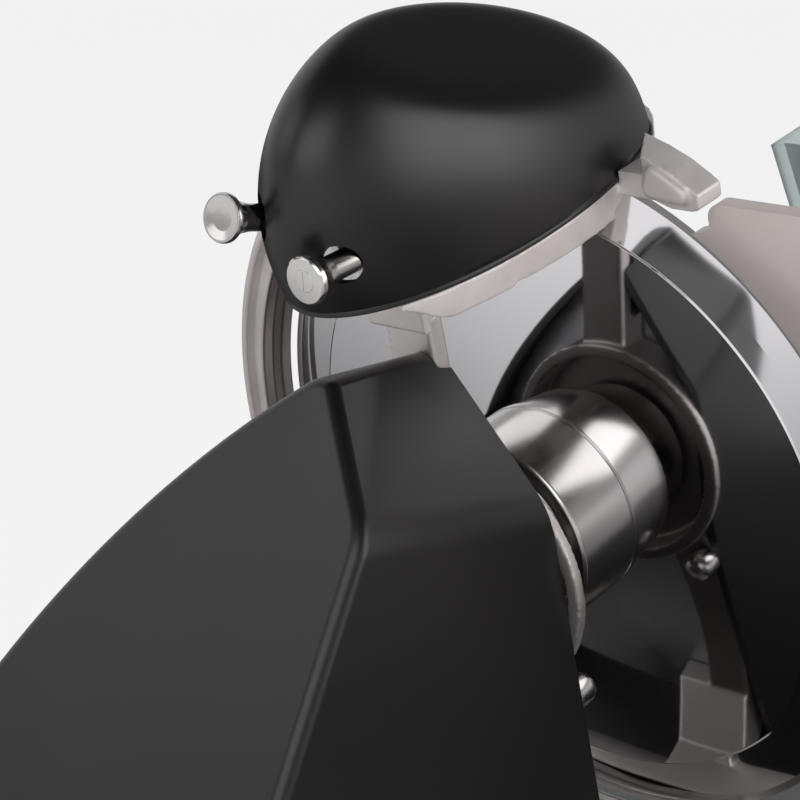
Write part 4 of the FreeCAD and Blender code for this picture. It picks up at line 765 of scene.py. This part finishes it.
class SLICER_OT_hub(bpy.types.Operator):
    """Adds the turned hub that carries the blade"""

    bl_idname = "slicer.hub"
    bl_label = "Blade hub"

    def execute(self, context):
        rim = context.scene.slicer_sizes.hub_radius / MM
        profile = soften([
            (-0.05, 8.6), (-0.05, rim - 0.7, 0.3), (-0.7, rim, 0.4), (-25.7, rim, 1.0),
            (-26.7, rim - 1.0, 0.6), (-26.7, 29.6, 0.8), (-28.5, 29.0, 0.5), (-50.0, 29.0), (-50.0, 8.6),
        ])
        hub = lathe(profile, steps=256, closed=True)
        piece("turned_hub", hub, finish(turned_steel), ["blade_hub"], sharp=50.0)
        return {"FINISHED"}


class SLICER_OT_ring(bpy.types.Operator):
    """Adds the guard ring around the back of the blade, with its foot on the base"""

    bl_idname = "slicer.ring"
    bl_label = "Guard ring"

    def execute(self, context):
        profile = soften([
            (9.4, 142.0, 1.0), (9.4, 126.9, 0.8), (8.0, 125.9, 0.6), (7.0, 126.5, 1.0), (5.0, 127.6, 2.0),
            (3.6, 130.4, 1.2), (0.6, 131.8, 0.5), (0.2, 132.6, 0.4), (0.6, 133.4, 0.5), (3.2, 134.2, 0.9),
            (3.2, 139.2, 0.9), (0.4, 140.2, 0.9), (0.0, 141.4, 1.2), (0.4, 142.8, 1.2), (1.6, 144.0, 1.4),
            (7.4, 144.0, 1.6),
        ], steps=4, closed=True)
        ring = lump(lathe(profile, steps=240, start=80.0, sweep=-195.0, closed=True))
        foot = copied("guard_ring", HEAD)
        cut(foot, [block(-5.0, 20.0, -200.0, 200.0, -120.0, 200.0)])
        change(ring, "BOOLEAN", operation="UNION", solver="EXACT", object=foot)
        settled(ring, [foot])
        tie = math.radians(TIE_TURN)
        cut(ring, [bar(3.4, -2.0, 12.0, TIE_CIRCLE * math.sin(tie), TIE_CIRCLE * math.cos(tie))])
        finishes = [finish(machined_ring), finish(fettled_casting)]
        shown = piece("guard_ring_band", ring, finishes, ["guard_ring"])
        paint_where(shown, lambda middle: math.hypot(middle.y, middle.z) > ROUGH_FROM, 1)
        return {"FINISHED"}


# Spindles of the sharpener, each by its middle in its hole through the dome (x, y, z) and the angle by
# which it drops towards the blade
SPINDLES = {"grind": (-110.1, 1.7, 152.9, 22.5), "hone": (-103.5, -22.4, 141.5, 5.0)}
HOLE_ROOM = {"grind": 1.2, "hone": 0.35}   # round each spindle in its hole
HOLE_RISE = 1.8      # by which a hole is taller than wide, each way


def on_spindle(which):
    """Placing of a spindle's frame, in millimetres, with x from its button towards its stone."""
    x, y, z, drop = SPINDLES[which]
    return Matrix.Translation((x, y, z)) @ Matrix.Rotation(math.radians(drop), 4, "Y")


def in_metres(matrix):
    placed = matrix.copy()
    placed.translation *= MM
    return placed


# Dome: half length, half width, height, lean and sideways shift of its top, rise of its lip, its middle
# (x, y, z) and the power that gives its fullness
DOME = (78.58, 34.97, 72.21, -35.9, -0.44, 3.76, -28.96, -7.95, 126.59, 1.93)
# Soft facets of the dome: heading and elevation in radians, distance from its middle, softness
FACETS = [(-1.16, 0.96, 45.71, 2.4), (-0.37, -0.11, 65.58, 3.0)]


def dome_point(turn, lift, grow=0.0):
    """Point of the dome at a heading and a lift above the lip, both in radians."""
    length, width, height, lean, shift, rise, x0, y0, z0, full = DOME
    out = math.cos(lift) ** (2.0 / full)
    up = math.sin(lift) ** (2.0 / full)
    around_lip = math.cos(turn) * out
    x = (length + grow) * around_lip + lean * up
    y = (width + grow) * math.sin(turn) * out + shift * up
    z = rise * around_lip + (height + grow) * up
    point = Vector((x, y, z))
    for heading, slope, distance, soft in FACETS:
        level = math.cos(slope)
        normal = Vector((level * math.cos(heading), level * math.sin(heading), math.sin(slope)))
        over = (point.dot(normal) - distance - grow) / soft
        point -= normal * soft * (math.log1p(math.exp(over)) if over < 30.0 else over)
    return point + Vector((x0, y0, z0))


def dome_ring(headings, lift, grow=0.0, rise=0.0):
    """Ring round the dome at a lift, moved up by the rise."""
    return [tuple(dome_point(turn, lift, grow) + Vector((0.0, 0.0, rise))) for turn in headings]


class SLICER_OT_dome(bpy.types.Operator):
    """Adds the sharpener's domed cover with its thin lip and the two holes for its spindles"""

    bl_idname = "slicer.dome"
    bl_label = "Sharpener cover"

    def execute(self, context):
        wall = context.scene.slicer_sizes.cover_sheet / MM
        headings = turns(200)
        lifts = [0.4999 * math.pi * (step / 48.0) ** 1.2 for step in range(49)]
        rings = [dome_ring(headings, lift, -wall) for lift in reversed(lifts)]
        for grow, rise in [(0.2, 0.0), (0.5, 0.3), (0.5, 1.4), (0.2, 1.8), (0.0, 2.0)]:
            rings.append(dome_ring(headings, 0.0, grow, rise))
        rings += [dome_ring(headings, lift) for lift in lifts if lift > 0.03]
        cover = lump(loft(rings))
        holes = []
        for which, room in HOLE_ROOM.items():
            wide = SPINDLE_R + room
            tall = wide + HOLE_RISE
            oval = [(wide * math.cos(a), tall * math.sin(a)) for a in turns(48)]
            ends = [[(x, y, z) for y, z in oval] for x in (-14.0, 24.0)]
            holes.append(moved(loft(ends), on_spindle(which)))
        cut(cover, holes)
        piece("domed_cover", cover, finish(powder_coat), ["sharpener_cover"], place=SHARPENER, sharp=40.0)
        return {"FINISHED"}


class SLICER_OT_spindles(bpy.types.Operator):
    """Adds the grinding spindle with its dished button and the slotted screw in the other button"""

    bl_idname = "slicer.spindles"
    bl_label = "Sharpener buttons"

    def execute(self, context):
        head = 7.2
        stem = SPINDLE_R
        collar = 6.4
        profile = soften([
            (-15.9, 0.0), (-16.2, 3.6, 4.0), (-16.9, head - 0.9, 0.25), (-16.9, head - 0.3, 0.2),
            (-16.2, head, 0.3), (-15.2, head, 0.4), (-14.4, 6.3, 1.0), (-10.6, 4.7, 6.0), (-6.0, stem, 3.0),
            (26.0, stem), (26.0, collar, 0.3), (28.2, collar, 0.3), (28.2, stem), (113.0, stem, 0.5),
            (113.0, 0.0),
        ], steps=6)
        button = lathe(profile, steps=128)
        piece("grinding_spindle", button, finish(turned_steel), ["grind_button"],
              place=SHARPENER @ in_metres(on_spindle("grind")), sharp=BUTTON_EDGE)
        insert = soften([
            (-16.2, 3.75), (-17.02, 3.75, 0.1), (-17.02, 3.55), (-16.6, 3.55), (-16.6, 3.4),
            (-17.1, 3.3, 0.2), (-17.12, 0.0),
        ])
        screw = lump(lathe(insert, steps=96))
        cut(screw, [block(-18.0, -16.75, -0.45, 0.45, -2.9, 2.9)])
        piece("slotted_insert", screw, finish(turned_steel), ["hone_screw"],
              place=SHARPENER @ in_metres(on_spindle("hone")), sharp=BUTTON_EDGE)
        return {"FINISHED"}


# Parts of the rim under the cover's lip: first and last heading in degrees, depth at the first and the last
RIM_PARTS = [(-142.0, -126.0, 2.5, 9.6), (-127.0, -108.0, 9.6, 9.6), (-76.0, -58.0, 9.6, 3.2)]


class SLICER_OT_sharpener_base(bpy.types.Operator):
    """Adds the sharpener's cast base, whose rim follows the cover's lip and runs out into the toe"""

    bl_idname = "slicer.sharpener_base"
    bl_label = "Sharpener base"

    def execute(self, context):
        base = copied("sharpener_base", HEAD)
        notch = [(-4.0, -63.0), (-4.0, -30.0), (13.0, -30.0), (13.0, -53.5)]
        wedge = loft([[(x, y, z) for x, y in notch] for z in (127.6, 150.0)])
        cut(base, [wedge])
        for start, end, first, last in RIM_PARTS:
            rings = []
            for step in range(19):
                share = step / 18
                turn = math.radians(start + (end - start) * share)
                drop = first + (last - first) * share * share * (3.0 - 2.0 * share)
                corners = ((-0.3, -0.3), (-0.3, -0.3 - drop), (-3.4, -0.3 - drop), (-3.4, -0.3))
                rings.append([dome_ring([turn], 0.0, grow, rise)[0] for grow, rise in corners])
            cut(base, [moved(loft(rings), SHARPENER_TILT)], "UNION")
        weathered(base, 0.5, 8)
        piece("sharpener_casting", base, finish(fettled_casting), ["sharpener_base"], sharp=60.0)
        return {"FINISHED"}


class SLICER_OT_studio(bpy.types.Operator):
    """Adds the floor, the lamps, the world and the camera"""

    bl_idname = "slicer.studio"
    bl_label = "Studio"

    def execute(self, context):
        scene = context.scene
        floor = lump(block(-FLOOR_REACH, FLOOR_REACH, -FLOOR_REACH, FLOOR_REACH, -20.0, 0.0), "floor")
        floor.data.transform(Matrix.Scale(MM, 4))
        floor.data.materials.append(finish(studio_floor))
        make_world(scene)
        for lamp in LAMPS:
            add_lamp(*lamp)
        add_camera(scene, context.scene.slicer_sizes.camera_distance)
        scene.view_settings.view_transform = "Standard"
        return {"FINISHED"}


# Lamps: name, heading and height over the blade's middle in degrees, distance, size in metres, brightness
LAMPS = [
    ("front_softbox", -66.0, 15.0, 2.0, (1.6, 1.4), 3.0),
    ("side_softbox", -152.0, 23.0, 2.0, (1.6, 1.0), 2.2),
    ("left_softbox", 148.0, 30.0, 2.2, (1.4, 1.0), 1.5),
]
BACKDROP = Vector((0.26, 0.96, 0.0)).normalized()
# Side of the floor whose glow polished metal shows bright: the motor's side, away from the table. Towards the
# table the glow fades to painted shade
FLOOR_SIDE = Vector((-1.0, 0.0, 0.0))
CAMERA_FROM = Vector((-676.2, -548.4, 261.2)).normalized()
CAMERA_LOOK = Vector((0.7150, 0.6523, -0.2517)).normalized()
LENS = 121.5
SENSOR = 36.0
FLOOR_REACH = 8000.0
FLOOR_GLOW = 0.9     # share of the floor's own light where it is seen or mirrored


def studio_floor():
    # Matt paper sweep: glows near white to the eye, and is darker where the machine shades it. In polished metal
    # its glow is painted light, bright on the motor's side and fading to painted shade towards the table
    material, tree, surface = new_finish("matt_paper_sweep", hue("floor"), Roughness=0.9)
    place = add(tree, "ShaderNodeTexCoord").outputs["Object"]
    fibre = add(tree, "ShaderNodeTexNoise", {"Vector": place, "Scale": per_mm(3.0), "Detail": 2.0})
    bump = add(tree, "ShaderNodeBump", {"Height": fibre.outputs[0], "Strength": 0.05, "Distance": 0.1 * MM})
    tree.links.new(bump.outputs[0], surface.inputs["Normal"])
    path = add(tree, "ShaderNodeLightPath")
    direct = add(tree, "ShaderNodeMath", {0: path.outputs["Is Camera Ray"],
                                          1: path.outputs["Is Transmission Ray"]})
    # Painted reflection: the glow that polished metal mirrors is bright on the motor's side and painted dark
    # towards the table
    along = add(tree, "ShaderNodeVectorMath", {0: place, 1: FLOOR_SIDE}, operation="DOT_PRODUCT")
    side = add(tree, "ShaderNodeMapRange", {0: along.outputs["Value"], "From Min": -0.05, "From Max": 0.62,
                                            "To Min": 0.03, "To Max": 1.0})
    level = add(tree, "ShaderNodeMath", {0: direct.outputs[0], 1: side.outputs[0]}, operation="MAXIMUM")
    glow = add(tree, "ShaderNodeEmission", {"Color": (*hue("floor"), 1.0), "Strength": level.outputs[0]})
    clear = add(tree, "ShaderNodeMath", {0: path.outputs["Is Glossy Ray"], 1: direct.outputs[0]},
                use_clamp=True)
    part = add(tree, "ShaderNodeMath", {0: clear.outputs[0], 1: FLOOR_GLOW}, operation="MULTIPLY")
    mix = add(tree, "ShaderNodeMixShader", {0: part.outputs[0], 1: surface.outputs[0], 2: glow.outputs[0]})
    out = next(node for node in tree.nodes if node.type == "OUTPUT_MATERIAL")
    tree.links.new(mix.outputs[0], out.inputs["Surface"])
    return material


def make_world(scene):
    """Room with a white backdrop behind the machine, a dim ceiling and a soft band round the horizon."""
    world = bpy.data.worlds.new("studio_room")
    world.use_nodes = True
    tree = world.node_tree
    tree.nodes.clear()
    heading = add(tree, "ShaderNodeTexCoord").outputs["Generated"]
    height = add(tree, "ShaderNodeSeparateXYZ", {0: heading}).outputs[2]
    behind = add(tree, "ShaderNodeVectorMath", {0: heading, 1: BACKDROP}, operation="DOT_PRODUCT")
    sheet = add(tree, "ShaderNodeMapRange", {0: behind.outputs["Value"], "From Min": 0.35, "From Max": 0.75},
                interpolation_type="SMOOTHSTEP")
    band = add(tree, "ShaderNodeMapRange", {0: height, "From Min": 0.1, "From Max": 0.4, "To Min": 0.5,
                                            "To Max": 0.05}, interpolation_type="SMOOTHSTEP")
    glow = add(tree, "ShaderNodeMath", {0: sheet.outputs[0], 1: 0.8}, operation="MULTIPLY")
    level = add(tree, "ShaderNodeMath", {0: glow.outputs[0], 1: band.outputs[0]}, operation="MAXIMUM")
    lit = add(tree, "ShaderNodeBackground", {"Color": (1.0, 1.0, 1.0, 1.0), "Strength": level.outputs[0]})
    seen = add(tree, "ShaderNodeBackground", {"Color": (*hue("floor"), 1.0), "Strength": 1.0})
    path = add(tree, "ShaderNodeLightPath")
    mix = add(tree, "ShaderNodeMixShader", {0: path.outputs["Is Camera Ray"], 1: lit.outputs[0],
                                            2: seen.outputs[0]})
    add(tree, "ShaderNodeOutputWorld", {"Surface": mix.outputs[0]})
    scene.world = world


def add_lamp(name, heading, height, distance, size, brightness):
    """Soft rectangular lamp that faces the blade's middle. Brightness is that of its face, 1 being white."""
    light = bpy.data.lights.new(name, "AREA")
    light.shape = "RECTANGLE"
    light.size, light.size_y = size
    light.energy = brightness * math.pi * light.size * light.size_y
    lamp = bpy.data.objects.new(name, light)
    bpy.context.scene.collection.objects.link(lamp)
    turn = math.radians(heading)
    rise = math.radians(height)
    level = math.cos(rise)
    reach = Vector((level * math.cos(turn), level * math.sin(turn), math.sin(rise)))
    lamp.location = AXIS + reach * distance
    lamp.rotation_euler = (-reach).to_track_quat("-Z", "Y").to_euler()


def add_camera(scene, distance):
    """Camera at the photograph's angle, looking at the blade's middle."""
    data = bpy.data.cameras.new("camera")
    data.lens = LENS
    data.sensor_width = SENSOR
    camera = bpy.data.objects.new("camera", data)
    scene.collection.objects.link(camera)
    place = AXIS + CAMERA_FROM * distance
    camera.matrix_world = Matrix.Translation(place) @ camera_turn().to_4x4()
    scene.camera = camera


def camera_turn():
    """Turn of a level camera that looks along CAMERA_LOOK."""
    right = CAMERA_LOOK.cross(Vector((0, 0, 1))).normalized()
    up = right.cross(CAMERA_LOOK)
    return Matrix((right, up, -CAMERA_LOOK)).transposed()


class SLICER_OT_plain_nodes(bpy.types.Operator):
    """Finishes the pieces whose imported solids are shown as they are"""

    bl_idname = "slicer.plain_nodes"
    bl_label = "Packed pieces"

    def execute(self, context):
        for node, make, edge in PLAIN:
            dress(node, make, edge)
        for node, make, grain in CASTINGS:
            dress(node, make, grain=grain)
        return {"FINISHED"}


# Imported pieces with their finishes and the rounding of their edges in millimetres
PLAIN = [
    ("base_body", powder_coat, 0.0), ("bottom_plate", zinc_sheet, 0.0),
    ("rubber_feet", soft_rubber, 0.8), ("foot_screws", drawn_steel, 0.0),
    ("start_button", green_abs, 0.4), ("stop_button", red_abs, 0.4),
    ("switch_bezels", moulded_nylon, 0.3), ("pilot_lamp", lamp_lens, 0.3),
    ("power_gland", moulded_nylon, 0.3), ("control_board", green_laminate, 0.0),
    ("housing_back_plate", zinc_sheet, 0.0), ("housing_cover", powder_coat, 0.0),
    ("motor", motor_enamel, 0.0), ("motor_shaft", drawn_steel, 0.0), ("motor_fan", moulded_nylon, 0.0),
    ("motor_pulley", moulded_nylon, 0.0), ("driven_pulley", moulded_nylon, 0.0),
    ("drive_belt", soft_rubber, 0.0), ("frame_stud", turned_steel, 0.0),
    ("shaft_bearings", drawn_steel, 0.0), ("blade_shaft", drawn_steel, 0.0),
    ("blade_screws", drawn_steel, 0.0), ("blade_cover_disc", brushed_plate, 0.3),
    ("cover_knob", moulded_nylon, 0.3), ("spindle_guides", blued_steel, 0.0),
    ("grind_stone", corundum, 0.0), ("grind_spring", drawn_steel, 0.0),
    ("hone_button", turned_steel, 0.25), ("hone_stone", corundum, 0.0),
    ("hone_spring", drawn_steel, 0.0), ("gauge_plate", cast_plate, 0.8),
    ("gauge_rod", hard_chrome, 0.0), ("rod_brackets", raw_casting, 0.4),
    ("gauge_cam", drawn_steel, 0.0), ("dial_knob", moulded_nylon, 0.4),
    ("dial_bush", oiled_bronze, 0.0), ("carriage_rod", hard_chrome, 0.5),
    ("slider_block", raw_casting, 0.5), ("slider_bushes", oiled_bronze, 0.0),
    ("glide_rail", drawn_steel, 0.3), ("glide_pad", white_acetal, 0.3),
    ("carriage_stem", powder_coat, 0.6), ("carriage_knob", moulded_nylon, 0.6),
    ("food_table", brushed_plate, 0.4), ("rod_posts", raw_casting, 0.6),
    ("pusher_rod", hard_chrome, 0.5), ("pusher_bush", oiled_bronze, 0.2),
    ("pusher_hub", raw_casting, 0.5), ("pusher_plate", brushed_plate, 0.4),
    ("pusher_handle", moulded_nylon, 0.4), ("hand_guard", clear_acrylic, 0.3),
    ("guard_screws", drawn_steel, 0.2),
]

# Sand castings, whose corners are soft, with the grain of their skin in millimetres
CASTINGS = [("frame_casting", sand_casting, 0.7)]

OPERATORS = [
    SLICER_OT_plain_nodes, SLICER_OT_blade, SLICER_OT_hub, SLICER_OT_ring, SLICER_OT_dome,
    SLICER_OT_spindles, SLICER_OT_sharpener_base, SLICER_OT_studio,
]


class SLICER_PT_panel(bpy.types.Panel):
    """Sidebar list of the slicer's sizes, colours and pieces"""

    bl_idname = "SLICER_PT_panel"
    bl_label = "Food slicer"
    bl_space_type = "VIEW_3D"
    bl_region_type = "UI"
    bl_category = "Slicer"

    def draw(self, context):
        for group in (context.scene.slicer_sizes, context.scene.slicer_colours):
            for name in group.bl_rna.properties.keys():
                if name not in ("rna_type", "name"):
                    self.layout.prop(group, name)
        for operator in OPERATORS:
            self.layout.operator(operator.bl_idname)


CLASSES = [SlicerSizes, SlicerColours, *OPERATORS, SLICER_PT_panel]


def register():
    for kind in CLASSES:
        bpy.utils.register_class(kind)
    bpy.types.Scene.slicer_sizes = bpy.props.PointerProperty(type=SlicerSizes)
    bpy.types.Scene.slicer_colours = bpy.props.PointerProperty(type=SlicerColours)


def unregister():
    del bpy.types.Scene.slicer_colours
    del bpy.types.Scene.slicer_sizes
    for kind in reversed(CLASSES):
        bpy.utils.unregister_class(kind)


def main():
    register()
    for operator in OPERATORS:
        group, name = operator.bl_idname.split(".")
        getattr(getattr(bpy.ops, group), name)()


if __name__ == "__main__":
    main()
